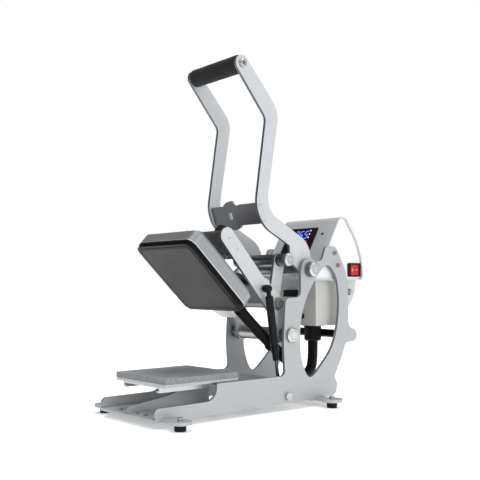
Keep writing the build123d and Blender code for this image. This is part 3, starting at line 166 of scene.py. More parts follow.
class Surface:
    """A node material on object coordinates, with helpers for its textures."""

    def __init__(self, name, colour, roughness, metallic=0.0, specular=0.5):
        self.material = bpy.data.materials.new(name)
        self.material.use_nodes = True
        self.tree = self.material.node_tree
        self.shader = self.tree.nodes["Principled BSDF"]
        self.shader.inputs["Base Color"].default_value = (*colour, 1)
        self.shader.inputs["Roughness"].default_value = roughness
        self.shader.inputs["Metallic"].default_value = metallic
        self.shader.inputs["Specular IOR Level"].default_value = specular
        self.place = self.node("ShaderNodeTexCoord").outputs["Object"]
        self.last_normal = None

    def node(self, kind, **values):
        made = self.tree.nodes.new(kind)
        for key, value in values.items():
            if isinstance(value, bpy.types.NodeSocket):
                self.tree.links.new(value, made.inputs[key])
            elif key in made.inputs:
                made.inputs[key].default_value = value
            else:
                setattr(made, key, value)
        return made

    def link(self, output, socket):
        self.tree.links.new(output, socket)

    def stretched(self, scale):
        mapping = self.node("ShaderNodeMapping", Vector=self.place)
        mapping.inputs["Scale"].default_value = scale
        return mapping.outputs["Vector"]

    def noise(self, scale, detail=3.0, roughness=0.5, vector=None):
        made = self.node("ShaderNodeTexNoise", Scale=scale, Detail=detail, Roughness=roughness)
        self.link(vector or self.place, made.inputs["Vector"])
        return made.outputs["Fac"]

    def cells(self, scale, vector=None, feature="F1"):
        made = self.node("ShaderNodeTexVoronoi", Scale=scale, feature=feature)
        self.link(vector or self.place, made.inputs["Vector"])
        return made.outputs["Distance"]

    def between(self, factor, low, high, start=0.3, end=0.7):
        made = self.node("ShaderNodeMapRange", Value=factor)
        made.inputs["From Min"].default_value = start
        made.inputs["From Max"].default_value = end
        made.inputs["To Min"].default_value = low
        made.inputs["To Max"].default_value = high
        return made.outputs["Result"]

    def vary_roughness(self, factor, low, high):
        self.link(self.between(factor, low, high), self.shader.inputs["Roughness"])

    def vary_colour(self, factor, first, second, start=0.3, end=0.7):
        ramp = self.node("ShaderNodeValToRGB", Fac=factor)
        ramp.color_ramp.elements[0].position = start
        ramp.color_ramp.elements[1].position = end
        ramp.color_ramp.elements[0].color = (*first, 1)
        ramp.color_ramp.elements[1].color = (*second, 1)
        self.link(ramp.outputs["Color"], self.shader.inputs["Base Color"])
        return ramp.outputs["Color"]

    def mix_colour(self, base, factor, colour):
        mix = self.node("ShaderNodeMix", data_type="RGBA")
        self.link(factor, mix.inputs["Factor"])
        self.link(base, mix.inputs["A"])
        mix.inputs["B"].default_value = (*colour, 1)
        self.link(mix.outputs["Result"], self.shader.inputs["Base Color"])
        return mix.outputs["Result"]

    def round_edges(self, radius):
        bevel = self.tree.nodes.new("ShaderNodeBevel")
        bevel.samples = 6
        bevel.inputs["Radius"].default_value = radius
        self.last_normal = bevel.outputs["Normal"]
        self.link(self.last_normal, self.shader.inputs["Normal"])
        return bevel.outputs["Normal"]

    def bump(self, height, strength, distance):
        made = self.node("ShaderNodeBump", Height=height)
        made.inputs["Strength"].default_value = strength
        made.inputs["Distance"].default_value = distance
        if self.last_normal:
            self.link(self.last_normal, made.inputs["Normal"])
        self.last_normal = made.outputs["Normal"]
        self.link(self.last_normal, self.shader.inputs["Normal"])

    def along(self, origin, direction):
        """How far a point lies along a direction from an origin."""
        offset = self.node("ShaderNodeVectorMath", operation="SUBTRACT")
        self.link(self.place, offset.inputs[0])
        offset.inputs[1].default_value = origin
        dot = self.node("ShaderNodeVectorMath", operation="DOT_PRODUCT")
        self.link(offset.outputs["Vector"], dot.inputs[0])
        dot.inputs[1].default_value = direction
        return dot.outputs["Value"]

    def calc(self, operation, first, second=None):
        made = self.node("ShaderNodeMath", operation=operation)
        for socket, value in zip(made.inputs, (first, second)):
            if isinstance(value, bpy.types.NodeSocket):
                self.link(value, socket)
            elif value is not None:
                socket.default_value = value
        return made.outputs["Value"]

    def outside_square(self, half, corner):
        """1 outside a rounded square about the heated platen's axis, 0 inside."""
        blend = 0.2 * mm
        across = self.calc("ABSOLUTE", self.along(platen_centre, (1, 0, 0)))
        back = self.calc("ABSOLUTE", self.along(platen_centre, platen_back))
        first = self.calc("MAXIMUM", self.calc("SUBTRACT", across, half - corner), 0.0)
        second = self.calc("MAXIMUM", self.calc("SUBTRACT", back, half - corner), 0.0)
        squares = [self.calc("MULTIPLY", side, side) for side in (first, second)]
        distance = self.calc("SQRT", self.calc("ADD", *squares))
        return self.between(distance, 0.0, 1.0, corner - blend, corner + blend)

    def flat_normal(self):
        return self.node("ShaderNodeNewGeometry").outputs["Normal"]

    def facing_x(self):
        """1 on faces that look along X, 0 on those across it."""
        parts = self.node("ShaderNodeSeparateXYZ", Vector=self.flat_normal())
        return self.calc("ABSOLUTE", parts.outputs["X"])

    def edge_wear(self, base, colour, radius, amount):
        """Worn edges: bare metal where the rounded normal leaves the flat one."""
        bevel = self.tree.nodes.new("ShaderNodeBevel")
        bevel.samples = 6
        bevel.inputs["Radius"].default_value = radius
        dot = self.node("ShaderNodeVectorMath", operation="DOT_PRODUCT")
        self.link(self.flat_normal(), dot.inputs[0])
        self.link(bevel.outputs["Normal"], dot.inputs[1])
        edge = self.between(dot.outputs["Value"], amount, 0.0, 0.80, 0.995)
        patches = self.between(self.noise(160, 4), 0.1, 1.0, 0.42, 0.62)
        return self.mix_colour(base, self.calc("MULTIPLY", edge, patches), colour)


def tint(colour, factor):
    return tuple(min(1.0, channel * factor) for channel in colour)


def powder_coat(name, colour, roughness=0.42, metallic=0.25, wear=(0.8, 0.81, 0.82), cut=None):
    """Fine-grained powder coat with worn edges; cut is a painted shade colour for the faces that
    don't look along X.
    """
    surface = Surface(name, colour, roughness, metallic)
    surface.round_edges(0.0007)
    base = surface.vary_colour(surface.noise(1400, 2), tint(colour, 0.93), tint(colour, 1.05))
    # Painted shade: faces across X, such as the plates' cut edges, take the darker cut colour in
    # place of their shadow.
    if cut:
        edge = surface.between(surface.facing_x(), 1.0, 0.0, 0.3, 0.8)
        base = surface.mix_colour(base, edge, cut)
    surface.edge_wear(base, wear, 0.0009, 0.45)
    surface.vary_roughness(surface.noise(18, 4), roughness - 0.05, roughness + 0.06)
    surface.bump(surface.noise(950, 2), 0.10, 0.0002)
    return surface.material


def cover_finish(name, colour):
    """Silver coat with faint drawn lines along its sides, a painted highlight along its lip and a
    black foot.
    """
    lines_per_metre = 260.0
    black_top, lip_highlight_top = 10.4 * mm, 11.6 * mm
    lip_highlight_colour, foot_colour = (0.75, 0.77, 0.79), (0.006, 0.006, 0.008)
    surface = Surface(name, colour, 0.34, 0.55)
    surface.round_edges(0.0016)
    rise = surface.along(platen_centre, platen_up)
    height = surface.calc("MULTIPLY", rise, lines_per_metre)
    lines = surface.node("ShaderNodeTexNoise", noise_dimensions="1D", Scale=1.0, Detail=3.0)
    surface.link(height, lines.inputs["W"])
    streaks = lines.outputs["Fac"]
    base = surface.vary_colour(streaks, tint(colour, 0.94), tint(colour, 1.05))
    # Painted highlight: a bright band just above the black foot stands in for light caught along
    # the cover's lip.
    lip_highlight = surface.between(rise, 1.0, 0.0, lip_highlight_top - 0.3 * mm, lip_highlight_top + 0.3 * mm)
    base = surface.mix_colour(base, lip_highlight, lip_highlight_colour)
    foot = surface.between(rise, 1.0, 0.0, black_top - 0.1 * mm, black_top + 0.1 * mm)
    surface.mix_colour(base, foot, foot_colour)
    surface.vary_roughness(streaks, 0.30, 0.38)
    surface.bump(surface.noise(1100, 2), 0.05, 0.0002)
    return surface.material


def capped_steel(name, colour, end_colour):
    """Turned end caps: bright end faces along X, and turned sides darkened by a painted dark
    reflection.
    """
    surface = Surface(name, colour, 0.26, 1.0)
    surface.round_edges(0.0006)
    # Painted reflection: the turned sides are tinted well below the end faces to stand in for the
    # dark surroundings they mirror.
    face = surface.between(surface.facing_x(), 0.0, 1.0, 0.45, 0.70)
    grain = surface.noise(1.0, 3, vector=surface.stretched((1500, 40, 40)))
    base = surface.vary_colour(grain, tint(colour, 0.42), tint(colour, 0.62))
    base = surface.mix_colour(base, face, end_colour)
    surface.vary_roughness(surface.noise(500, 2), 0.27, 0.31)
    surface.bump(grain, 0.03, 0.0001)
    return surface.material


def smooth_paint(name, colour, roughness=0.35):
    """Smooth baked paint with a faint orange-peel skin."""
    surface = Surface(name, colour, roughness)
    surface.round_edges(0.0006)
    surface.vary_colour(surface.noise(9, 3), tint(colour, 0.98), tint(colour, 1.02))
    surface.vary_roughness(surface.noise(40, 4), roughness - 0.04, roughness + 0.05)
    surface.bump(surface.noise(500, 2), 0.05, 0.0002)
    return surface.material


def turned_steel(name, colour, roughness=0.28, rings=1500.0):
    """Lathe-turned steel: fine marks that run round the X axis, with faint stains."""
    surface = Surface(name, colour, roughness, 1.0)
    surface.round_edges(0.0005)
    lines = surface.noise(1.0, 2, vector=surface.stretched((rings, 30, 30)))
    surface.vary_colour(surface.noise(55, 5), tint(colour, 0.86), tint(colour, 1.08))
    surface.vary_roughness(lines, roughness - 0.07, roughness + 0.10)
    surface.bump(lines, 0.12, 0.0001)
    return surface.material


def brushed_plate(name, colour, roughness=0.34):
    """Rolled plate with a grain along X."""
    surface = Surface(name, colour, roughness, 1.0)
    surface.round_edges(0.0004)
    grain = surface.noise(1.0, 4, vector=surface.stretched((12, 1600, 1600)))
    surface.vary_colour(grain, tint(colour, 0.93), tint(colour, 1.05))
    surface.vary_roughness(grain, roughness - 0.06, roughness + 0.10)
    surface.bump(grain, 0.08, 0.0001)
    return surface.material


def zinc_plate(name):
    """Zinc plate with its bluish and yellowish patches."""
    surface = Surface(name, (0.45, 0.49, 0.50), 0.24, 1.0)
    surface.round_edges(0.0004)
    surface.vary_colour(surface.noise(240, 3), (0.36, 0.42, 0.45), (0.52, 0.53, 0.50))
    surface.vary_roughness(surface.noise(300, 3), 0.16, 0.34)
    return surface.material


def black_oxide(name, colour=(0.005, 0.005, 0.006), roughness=0.30, specular=0.12):
    """Black oxide on steel, slightly mottled."""
    surface = Surface(name, colour, roughness, 0.0, specular)
    surface.round_edges(0.0004)
    surface.vary_colour(surface.noise(220, 3), tint(colour, 0.8), tint(colour, 1.7))
    surface.vary_roughness(surface.noise(90, 4), roughness - 0.08, roughness + 0.10)
    surface.bump(surface.noise(1200, 2), 0.06, 0.0001)
    return surface.material


def rubber(name, colour=(0.008, 0.008, 0.009)):
    """Matt moulded rubber with a dusty, pitted skin."""
    surface = Surface(name, colour, 0.72, 0.0, 0.15)
    surface.vary_colour(surface.noise(120, 4), tint(colour, 0.8), tint(colour, 1.6))
    surface.vary_roughness(surface.noise(260, 4), 0.62, 0.82)
    surface.bump(surface.noise(1300, 3), 0.22, 0.0002)
    return surface.material


def foam(name, colour=(0.006, 0.006, 0.007)):
    """Closed-cell foam: a soft skin with fine pores."""
    surface = Surface(name, colour, 0.8, 0.0, 0.15)
    surface.shader.inputs["Sheen Weight"].default_value = 0.04
    surface.shader.inputs["Sheen Roughness"].default_value = 0.6
    pores = surface.cells(900)
    surface.vary_colour(pores, tint(colour, 0.7), tint(colour, 1.8), 0.05, 0.5)
    surface.bump(pores, 0.35, 0.0003)
    surface.bump(surface.noise(70, 3), 0.15, 0.0006)
    return surface.material


def sponge_pad(name):
    """Sponge silicone: a smooth grey skin on top and open speckled cells on the cut sides."""
    skin, cell = (0.315, 0.330, 0.345), (0.075, 0.078, 0.080)
    surface = Surface(name, skin, 0.68, 0.0, 0.35)
    speckle = surface.cells(850)
    fine = surface.noise(420, 4)
    base = surface.vary_colour(fine, tint(skin, 0.93), tint(skin, 1.06))
    parts = surface.node("ShaderNodeSeparateXYZ", Vector=surface.flat_normal())
    side = surface.between(parts.outputs["Z"], 1.0, 0.0, 0.25, 0.75)
    open_cells = surface.between(speckle, 1.0, 0.15, 0.20, 0.62)
    surface.mix_colour(base, surface.calc("MULTIPLY", side, open_cells), cell)
    surface.bump(speckle, 0.25, 0.0004)
    surface.bump(surface.noise(30, 3), 0.08, 0.0010)
    return surface.material


def non_stick(name):
    """Non-stick coating: a warm dark grey with a pebbled, slightly shiny skin and a black rim."""
    colour, rim_colour = (0.036, 0.036, 0.037), (0.006, 0.006, 0.007)
    grey_half, grey_corner = 71.5 * mm, 8.0 * mm
    surface = Surface(name, colour, 0.50, 0.0, 0.20)
    surface.round_edges(0.0010)
    base = surface.vary_colour(surface.noise(28, 5), tint(colour, 0.92), tint(colour, 1.10))
    surface.mix_colour(base, surface.outside_square(grey_half, grey_corner), rim_colour)
    surface.vary_roughness(surface.noise(9, 4), 0.44, 0.58)
    surface.bump(surface.noise(1700, 2), 0.10, 0.0002)
    return surface.material


def moulded(name, colour, roughness=0.40, grain=0.12, specular=0.14):
    """Moulded plastic with a fine spark-eroded grain."""
    surface = Surface(name, colour, roughness, 0.0, specular)
    surface.round_edges(0.0004)
    surface.vary_colour(surface.noise(70, 3), tint(colour, 0.9), tint(colour, 1.15))
    surface.vary_roughness(surface.noise(130, 4), roughness - 0.05, roughness + 0.07)
    surface.bump(surface.noise(2200, 2), grain, 0.0001)
    return surface.material


def glowing(name, colour, strength):
    """A lit lamp or display segment."""
    surface = Surface(name, tint(colour, 0.6), 0.35)
    surface.vary_colour(surface.noise(600, 2), tint(colour, 0.5), tint(colour, 0.7))
    surface.shader.inputs["Emission Color"].default_value = (*colour, 1)
    surface.shader.inputs["Emission Strength"].default_value = strength
    return surface.material


def display_glass(name):
    """Smoked display window with a thin coat and faint smears."""
    surface = Surface(name, (0.006, 0.007, 0.011), 0.12)
    surface.shader.inputs["Coat Weight"].default_value = 0.4
    surface.shader.inputs["Coat Roughness"].default_value = 0.06
    surface.vary_colour(surface.noise(200, 2), (0.005, 0.006, 0.009), (0.009, 0.010, 0.015))
    surface.vary_roughness(surface.noise(60, 4), 0.08, 0.20)
    return surface.material


# Painted shade: the cut colours darken the plates' and arms' faces across X, their edges, to stand
# in for shadow.
silver_coat = powder_coat("silver_coat", (0.385, 0.405, 0.420), 0.45, 0.30, cut=(0.20, 0.21, 0.22))
base_coat = powder_coat("base_coat", (0.385, 0.405, 0.420), 0.45, 0.30)
cover_coat = cover_finish("cover_coat", (0.300, 0.315, 0.330))
arm_coat = powder_coat("arm_coat", (0.520, 0.540, 0.560), 0.42, 0.25, cut=(0.09, 0.095, 0.10))
# Painted shade: yoke_shade darkens the yoke plates' faces across X to stand in for their shadow.
yoke_wear, yoke_shade = (0.30, 0.30, 0.30), (0.075, 0.078, 0.082)
yoke_coat = powder_coat("yoke_coat", (0.520, 0.540, 0.560), 0.46, 0.20, yoke_wear, yoke_shade)
shroud_coat = powder_coat("shroud_coat", (0.540, 0.560, 0.580), 0.36, 0.20)
white_coat = smooth_paint("white_coat", (0.74, 0.77, 0.79), 0.34)
housing_coat = smooth_paint("housing_coat", (0.50, 0.505, 0.485), 0.40)
dark_steel = turned_steel("dark_steel", (0.200, 0.205, 0.210), 0.30)
cap_steel = capped_steel("cap_steel", (0.50, 0.48, 0.46), (0.60, 0.60, 0.59))
screw_brass = turned_steel("screw_brass", (0.33, 0.31, 0.27), 0.26)
bright_steel = turned_steel("bright_steel", (0.78, 0.77, 0.74), 0.24)
tube_steel = turned_steel("tube_steel", (0.44, 0.44, 0.43), 0.36)
plate_steel = brushed_plate("plate_steel", (0.58, 0.59, 0.60), 0.38)
pad_aluminium = brushed_plate("pad_aluminium", (0.40, 0.41, 0.42), 0.32)
zinc = zinc_plate("zinc")
black_steel = black_oxide("black_steel")
gloss_black = black_oxide("gloss_black", (0.004, 0.004, 0.005), 0.12, 0.3)
groove_shade = black_oxide("groove_shade", (0.035, 0.035, 0.036), 0.4, 0.3)
rod_black = turned_steel("rod_black", (0.085, 0.085, 0.09), 0.20)
# Painted shade: armature_shade darkens the armature plate's faces across X to stand in for their
# shadow.
armature_wear, armature_shade = (0.35, 0.36, 0.37), (0.085, 0.089, 0.093)
armature_coat = powder_coat(
    "armature_coat", (0.520, 0.540, 0.560), 0.40, 0.40, armature_wear, armature_shade
)
foot_rubber = rubber("foot_rubber")
grip_foam = foam("grip_foam")
pad_sponge = sponge_pad("pad_sponge")
face_coat = non_stick("face_coat")
black_plastic = moulded("black_plastic", (0.006, 0.006, 0.007))
band_plastic = moulded("band_plastic", (0.003, 0.003, 0.004), 0.22, 0.06, 0.12)
hose_plastic = moulded("hose_plastic", (0.004, 0.004, 0.005), 0.32, 0.06, 0.14)
red_plastic = moulded("red_plastic", (0.42, 0.006, 0.010), 0.22, 0.05, 0.4)
board_green = moulded("board_green", (0.02, 0.14, 0.05), 0.35, 0.05)
panel_glass = display_glass("panel_glass")
white_mark = smooth_paint("white_mark", (0.80, 0.80, 0.80), 0.5)
digit_blue = glowing("digit_blue", (0.008, 0.030, 0.80), 1.0)
digit_white = glowing("digit_white", (0.30, 0.45, 1.0), 0.8)
lamp_red = glowing("lamp_red", (0.75, 0.01, 0.015), 0.8)
lamp_hot = glowing("lamp_hot", (1.0, 0.55, 0.50), 1.0)

node_materials = {
    silver_coat: "side_plate_right side_plate_left centre_rib",
    base_coat: "front_base_plate rear_base_plate platen_saddle",
    cover_coat: "heater_cover",
    arm_coat: "heater_arm_right heater_arm_left handle_arm_right handle_arm_left toggle_links",
    yoke_coat: "front_yoke_plate arm_cross_plates",
    shroud_coat: "control_shroud",
    white_coat: "side_panels",
    housing_coat: "lower_housing",
    dark_steel: "handle_tubes axle_spacers knee_shaft",
    cap_steel: "axle_caps toggle_shaft knee_caps grip_rod",
    tube_steel: "clamshell_tube",
    bright_steel: "pivot_axles screw_bush guide_posts heating_elements",
    rod_black: "gas_spring_rod",
    screw_brass: "frame_screws",
    plate_steel: "platen_bracket conduit_bracket electromagnet",
    pad_aluminium: "lower_platen_plate",
    zinc: "spring_foot_stud spring_top_stud",
    black_steel: "gas_spring_cylinder rear_tie_bar toggle_washers",
    armature_coat: "armature_plate",
    foot_rubber: "rubber_feet",
    face_coat: "heater_block",
    band_plastic: "edge_band",
    black_plastic: "box_fittings strain_relief conduit_tie pressure_knob",
    gloss_black: "key_set key_minus key_plus",
    red_plastic: "power_rocker",
    board_green: "circuit_board",
    panel_glass: "display_panel",
    lamp_hot: "indicator_lights",
}


def dress_nodes():
    for material, names in node_materials.items():
        for name in names.split():
            slots = frame["nodes"][name].data.materials
            slots.clear()
            slots.append(material)


dress_nodes()

# Mesh helpers


def finish_piece(bm, name, material, smooth_angle=35):
    mesh = bpy.data.meshes.new(name)
    bmesh.ops.recalc_face_normals(bm, faces=bm.faces)
    bm.to_mesh(mesh)
    bm.free()
    mesh.materials.append(material)
    piece = bpy.data.objects.new(name, mesh)
    bpy.context.scene.collection.objects.link(piece)
    mesh.shade_smooth()
    mesh.set_sharp_from_angle(angle=math.radians(smooth_angle))
    return piece


def frame_of(direction):
    """Two directions across a given one."""
    side = direction.orthogonal().normalized()
    return side, direction.cross(side)


def add_loop(bm, centre, side, across, radii):
    """A closed loop of vertices about a centre, one at each radius."""
    loop = []
    for index, radius in enumerate(radii):
        angle = 2 * math.pi * index / len(radii)
        outward = side * math.cos(angle) + across * math.sin(angle)
        loop.append(bm.verts.new(centre + outward * radius))
    return loop


def join_loops(bm, pairs):
    """Faces between the two loops of each pair."""
    for lower, upper in pairs:
        for index in range(len(lower)):
            after = (index + 1) % len(lower)
            bm.faces.new((lower[index], lower[after], upper[after], upper[index]))


def close_tube(bm, loops):
    """A closed tube's skin: its wall from loop to loop, and a face over each end."""
    join_loops(bm, zip(loops, loops[1:]))
    bm.faces.new(loops[0])
    bm.faces.new(loops[-1])


def lathe(profile, start, direction, segments=48):
    """A closed turned piece: profile is (distance along the axis, radius) from end to end."""
    direction = Vector(direction).normalized()
    side, across = frame_of(direction)
    bm = bmesh.new()
    loops = []
    for along, radius in profile:
        centre = Vector(start) + direction * along
        loops.append(add_loop(bm, centre, side, across, [radius] * segments))
    close_tube(bm, loops)
    return bm


def slab(corners, thickness):
    """A flat plate from a loop of corners, thickened along its normal."""
    bm = bmesh.new()
    face = bm.faces.new([bm.verts.new(corner) for corner in corners])
    face.normal_update()
    normal = face.normal.copy()
    made = bmesh.ops.extrude_face_region(bm, geom=[face])
    moved = [part for part in made["geom"] if isinstance(part, bmesh.types.BMVert)]
    bmesh.ops.translate(bm, verts=moved, vec=normal * thickness)
    return bm


# Conduit: a corrugated hose from the heated platen to the control box, along points in mm

conduit_route = [
    (44.0, -49.1, 184.4),
    (44.0, -20.5, 156.5),
    (44.0, 30.0, 115.4),
    (44.0, 57.1, 93.3),
    (38.0, 86.0, 74.0),
    (20.0, 117.5, 58.5),
    (6.0, 146.0, 46.0),
    (1.0, 168.5, 49.0),
    (0.0, 181.5, 68.0),
    (0.0, 181.5, 112.0),
]
tie_point, settled_point = 2, 5
conduit_radius = 10.2 * mm
ridge_pitch = 2.7 * mm
ridge_depth = 1.2 * mm
ridge_steps = 6
smooth_share = 0.45


def read_route(points, resolution=24):
    """Points along the smooth spline that a route's control points make."""
    curve = bpy.data.curves.new("route", "CURVE")
    curve.dimensions = "3D"
    spline = curve.splines.new("NURBS")
    spline.points.add(len(points) - 1)
    for point, place in zip(spline.points, points):
        point.co = (*place, 1)
    spline.order_u = 3
    spline.use_endpoint_u = True
    spline.resolution_u = resolution
    holder = bpy.data.objects.new("route", curve)
    mesh = bpy.data.meshes.new_from_object(holder)
    places = [vertex.co.copy() for vertex in mesh.vertices]
    bpy.data.objects.remove(holder)
    bpy.data.curves.remove(curve)
    bpy.data.meshes.remove(mesh)
    return places


def even_steps(points, step):
    """The same path in even steps."""
    lengths = [0.0]
    for before, after in zip(points, points[1:]):
        lengths.append(lengths[-1] + (after - before).length)
    count = max(2, round(lengths[-1] / step))
    made, index = [], 0
    for number in range(count + 1):
        wanted = lengths[-1] * number / count
        while index < len(points) - 2 and lengths[index + 1] < wanted:
            index += 1
        share = (wanted - lengths[index]) / max(1e-9, lengths[index + 1] - lengths[index])
        made.append(points[index].lerp(points[index + 1], min(1.0, share)))
    return made


def hose(path, name, smooth_from=math.inf, segments=32):
    """A corrugated hose along even steps, whose ridges fade to a quarter past a given step."""
    fade_steps, fade_share = 60, 0.75
    bm = bmesh.new()
    side = None
    loops = []
    for number, place in enumerate(path):
        before = path[max(0, number - 1)]
        after = path[min(len(path) - 1, number + 1)]
        ahead = (after - before).normalized()
        side = ahead.orthogonal() if side is None else side - ahead * side.dot(ahead)
        side.normalize()
        across = ahead.cross(side)
        wave = 0.5 - 0.5 * math.cos(2 * math.pi * number / ridge_steps)
        fade = min(1.0, max(0.0, (number - smooth_from) / fade_steps))
        radius = conduit_radius - ridge_depth * wave * (1 - fade_share * fade)
        loops.append(add_loop(bm, place, side, across, [radius] * segments))
    close_tube(bm, loops)
    return finish_piece(bm, name, hose_plastic, 80)


def make_conduit():
    places = read_route([Vector(point) * mm for point in conduit_route])
    path = even_steps(places, ridge_pitch / ridge_steps)
    tie = Vector(conduit_route[tie_point]) * mm
    cut = min(range(len(path)), key=lambda index: (path[index] - tie).length)
    cut -= cut % ridge_steps
    upper = hose(path[: cut + 1], "conduit_hose_upper")
    lower = hose(path[cut:], "conduit_hose_lower", smooth_share * (len(path) - cut))
    for piece, node in ((upper, "conduit_upper"), (lower, "conduit_lower")):
        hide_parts(node)
    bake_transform(upper)
    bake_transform(lower)


make_conduit()

# Grip: a foam sleeve with soft ends


def make_grip():
    bore, rounding = 9.0 * mm, 4 * mm
    ripple_height, ripples = 0.12 * mm, 7
    low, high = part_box("grip")
    centre = middle("grip")
    radius = (high.z - low.z) / 2
    length = high.x - low.x
    profile = []
    ends = 7
    for step in range(ends + 1):
        angle = math.pi / 2 * step / ends
        along = rounding * (1 - math.sin(angle))
        profile.append((along, radius - rounding * (1 - math.cos(angle))))
    first = [(0.0, bore)] + sorted(profile)
    body = []
    steps = 26
    for step in range(1, steps):
        along = rounding + (length - 2 * rounding) * step / steps
        ripple = ripple_height * math.sin(ripples * math.pi * step / steps)
        body.append((along, radius - ripple_height + ripple))
    last = [(length - along, edge) for along, edge in reversed(first)]
    start = Vector((low.x, centre.y, centre.z))
    bm = lathe(first + body + last, start, (1, 0, 0), 64)
    piece = finish_piece(bm, "grip_sleeve", grip_foam, 60)
    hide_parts("grip")
    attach(piece, "handle")


make_grip()

# Pad: a slab of sponge silicone with a soft top edge


def make_pad():
    corner, rim = 2.2 * mm, 0.7 * mm
    low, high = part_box("foam_pad")
    bm = bmesh.new()
    bmesh.ops.create_cube(bm, size=1)
    for vertex in bm.verts:
        ends = zip(vertex.co, low, high)
        vertex.co = Vector([first if side < 0 else last for side, first, last in ends])
    upright = [edge for edge in bm.edges if abs(edge.verts[0].co.z - edge.verts[1].co.z) > 0.001]
    bmesh.ops.bevel(bm, geom=upright, offset=corner, segments=4, affect="EDGES", profile=0.5)
    rims = [edge for edge in bm.edges if abs(edge.verts[0].co.z - edge.verts[1].co.z) < 1e-6]
    bmesh.ops.bevel(bm, geom=rims, offset=rim, segments=3, affect="EDGES", profile=0.5)
    piece = finish_piece(bm, "sponge_pad", pad_sponge, 40)
    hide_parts("foam_pad")
    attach(piece, "frame")


make_pad()

# Pressure screw with its thread


def make_pressure_screw():
    """A collar and a trapezoidal thread, whose depth follows each vertex's turn round the axis."""
    radius = 6.0 * mm
    pitch = 3.5 * mm
    depth = 0.9 * mm
    collar_radius, chamfer = 10.0 * mm, 0.8 * mm
    collar_start, thread_start, thread_end = 40.3 * mm, 47.3 * mm, 100.8 * mm
    side, across = frame_of(platen_up)
    bm = lathe(
        [
            (collar_start, collar_radius - chamfer),
            (collar_start + chamfer, collar_radius),
            (thread_start - chamfer, collar_radius),
            (thread_start, collar_radius - chamfer),
        ],
        platen_centre,
        platen_up,
    )
    segments, rings_per_turn = 40, 10
    rings = round((thread_end - thread_start) / pitch * rings_per_turn)
    loops = []
    for ring in range(rings + 1):
        along = thread_start + (thread_end - thread_start) * ring / rings
        radii = []
        for index in range(segments):
            phase = (along / pitch - index / segments) % 1.0
            wave = abs(phase - 0.5) * 2
            radii.append(radius - depth * max(0.0, min(1.0, (wave - 0.25) * 2)))
        loops.append(add_loop(bm, platen_centre + platen_up * along, side, across, radii))
    close_tube(bm, loops)
    piece = finish_piece(bm, "threaded_screw", bright_steel, 50)
    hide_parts("pressure_screw")
    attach(piece, "pressure_adjuster")


make_pressure_screw()

# Display: digits, a red bar and the panel's screws

display_across = Vector((1, 0, 0))
display_up = display_out.cross(display_across)
display_thickness = 2.5 * mm
digit_width, digit_height, digit_spacing, digit_lean = 8.6 * mm, 16.5 * mm, 13.8 * mm, 0.16
digits_left, digits_up = -13.4 * mm, 14.5 * mm
bar_right, bar_up = 20.5 * mm, -3.0 * mm
bar_corners = ((-2.0, -3.6), (1.2, -3.6), (2.4, 3.6), (-0.8, 3.6))
mark_gap, digit_thickness, bar_thickness = 0.02 * mm, 0.15 * mm, 0.3 * mm
glow_stroke, core_stroke, core_lift = 4.0 * mm, 1.2 * mm, 0.2 * mm
digit_strokes = {
    "3": "abgcd",
    "6": "afgecd",
    "5": "afgcd",
}


def display_centre():
    """The middle of the display panel's outer face."""
    return middle("display_panel") + display_out * (display_thickness / 2)


def on_display(right, up, lift=0.0):
    return display_centre() + display_across * right + display_up * up + display_out * lift


def stroke_corners(kind, width, height, stroke, lean):
    """A seven-segment stroke's corners, in a digit's own right and up."""
    half_width, half_height, half = width / 2, height / 2, stroke / 2
    flat = {"a": half_height, "g": 0.0, "d": -half_height}
    tall = {
        "f": (-half_width, 1),
        "b": (half_width, 1),
        "e": (-half_width, -1),
        "c": (half_width, -1),
    }
    if kind in flat:
        up, reach = flat[kind], half_width - half * 0.5
        points = [
            (-reach, up),
            (-reach + half, up - half),
            (reach - half, up - half),
            (reach, up),
            (reach - half, up + half),
            (-reach + half, up + half),
        ]
    else:
        right, way = tall[kind]
        first, last = half * 0.5 * way, (half_height - half * 0.5) * way
        points = [
            (right, first),
            (right + half, first + half * way),
            (right + half, last - half * way),
            (right, last),
            (right - half, last - half * way),
            (right - half, first + half * way),
        ]
    return [(right + lean * up, up) for right, up in points]


def make_digits(name, material, stroke, lift):
    """The temperature, 365, in slanted strokes of one width."""
    bm = bmesh.new()
    for number, digit in enumerate("365"):
        middle_right = digits_left + digit_spacing * number
        for kind in digit_strokes[digit]:
            corners = stroke_corners(kind, digit_width, digit_height, stroke, digit_lean)
            places = [
                on_display(middle_right + right, digits_up + up, lift) for right, up in corners
            ]
            face = bm.faces.new([bm.verts.new(place) for place in places])
            face.normal_update()
            made = bmesh.ops.extrude_face_region(bm, geom=[face])
            moved = [part for part in made["geom"] if isinstance(part, bmesh.types.BMVert)]
            bmesh.ops.translate(bm, verts=moved, vec=display_out * digit_thickness)
    piece = finish_piece(bm, name, material, 30)
    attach(piece, "frame")


def make_display_marks():
    make_digits("digit_glow", digit_blue, glow_stroke, mark_gap)
    make_digits("digit_cores", digit_white, core_stroke, core_lift)
    bar = [
        on_display(bar_right + right * mm, bar_up + up * mm, mark_gap) for right, up in bar_corners
    ]
    piece = finish_piece(slab(bar, bar_thickness), "status_bar", lamp_red, 30)
    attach(piece, "frame")


make_display_marks()


def button_screw(name, place, direction, radius, body, material):
    """A low button-head screw with a socket."""
    profile = [
        (-1.0 * mm, radius * 0.5),
        (0.0, radius * 0.98),
        (radius * 0.25, radius),
        (radius * 0.50, radius * 0.86),
        (radius * 0.66, radius * 0.62),
        (radius * 0.68, radius * 0.44),
        (radius * 0.25, radius * 0.42),
    ]
    piece = finish_piece(lathe(profile, place, direction, 24), name, material, 40)
    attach(piece, body)


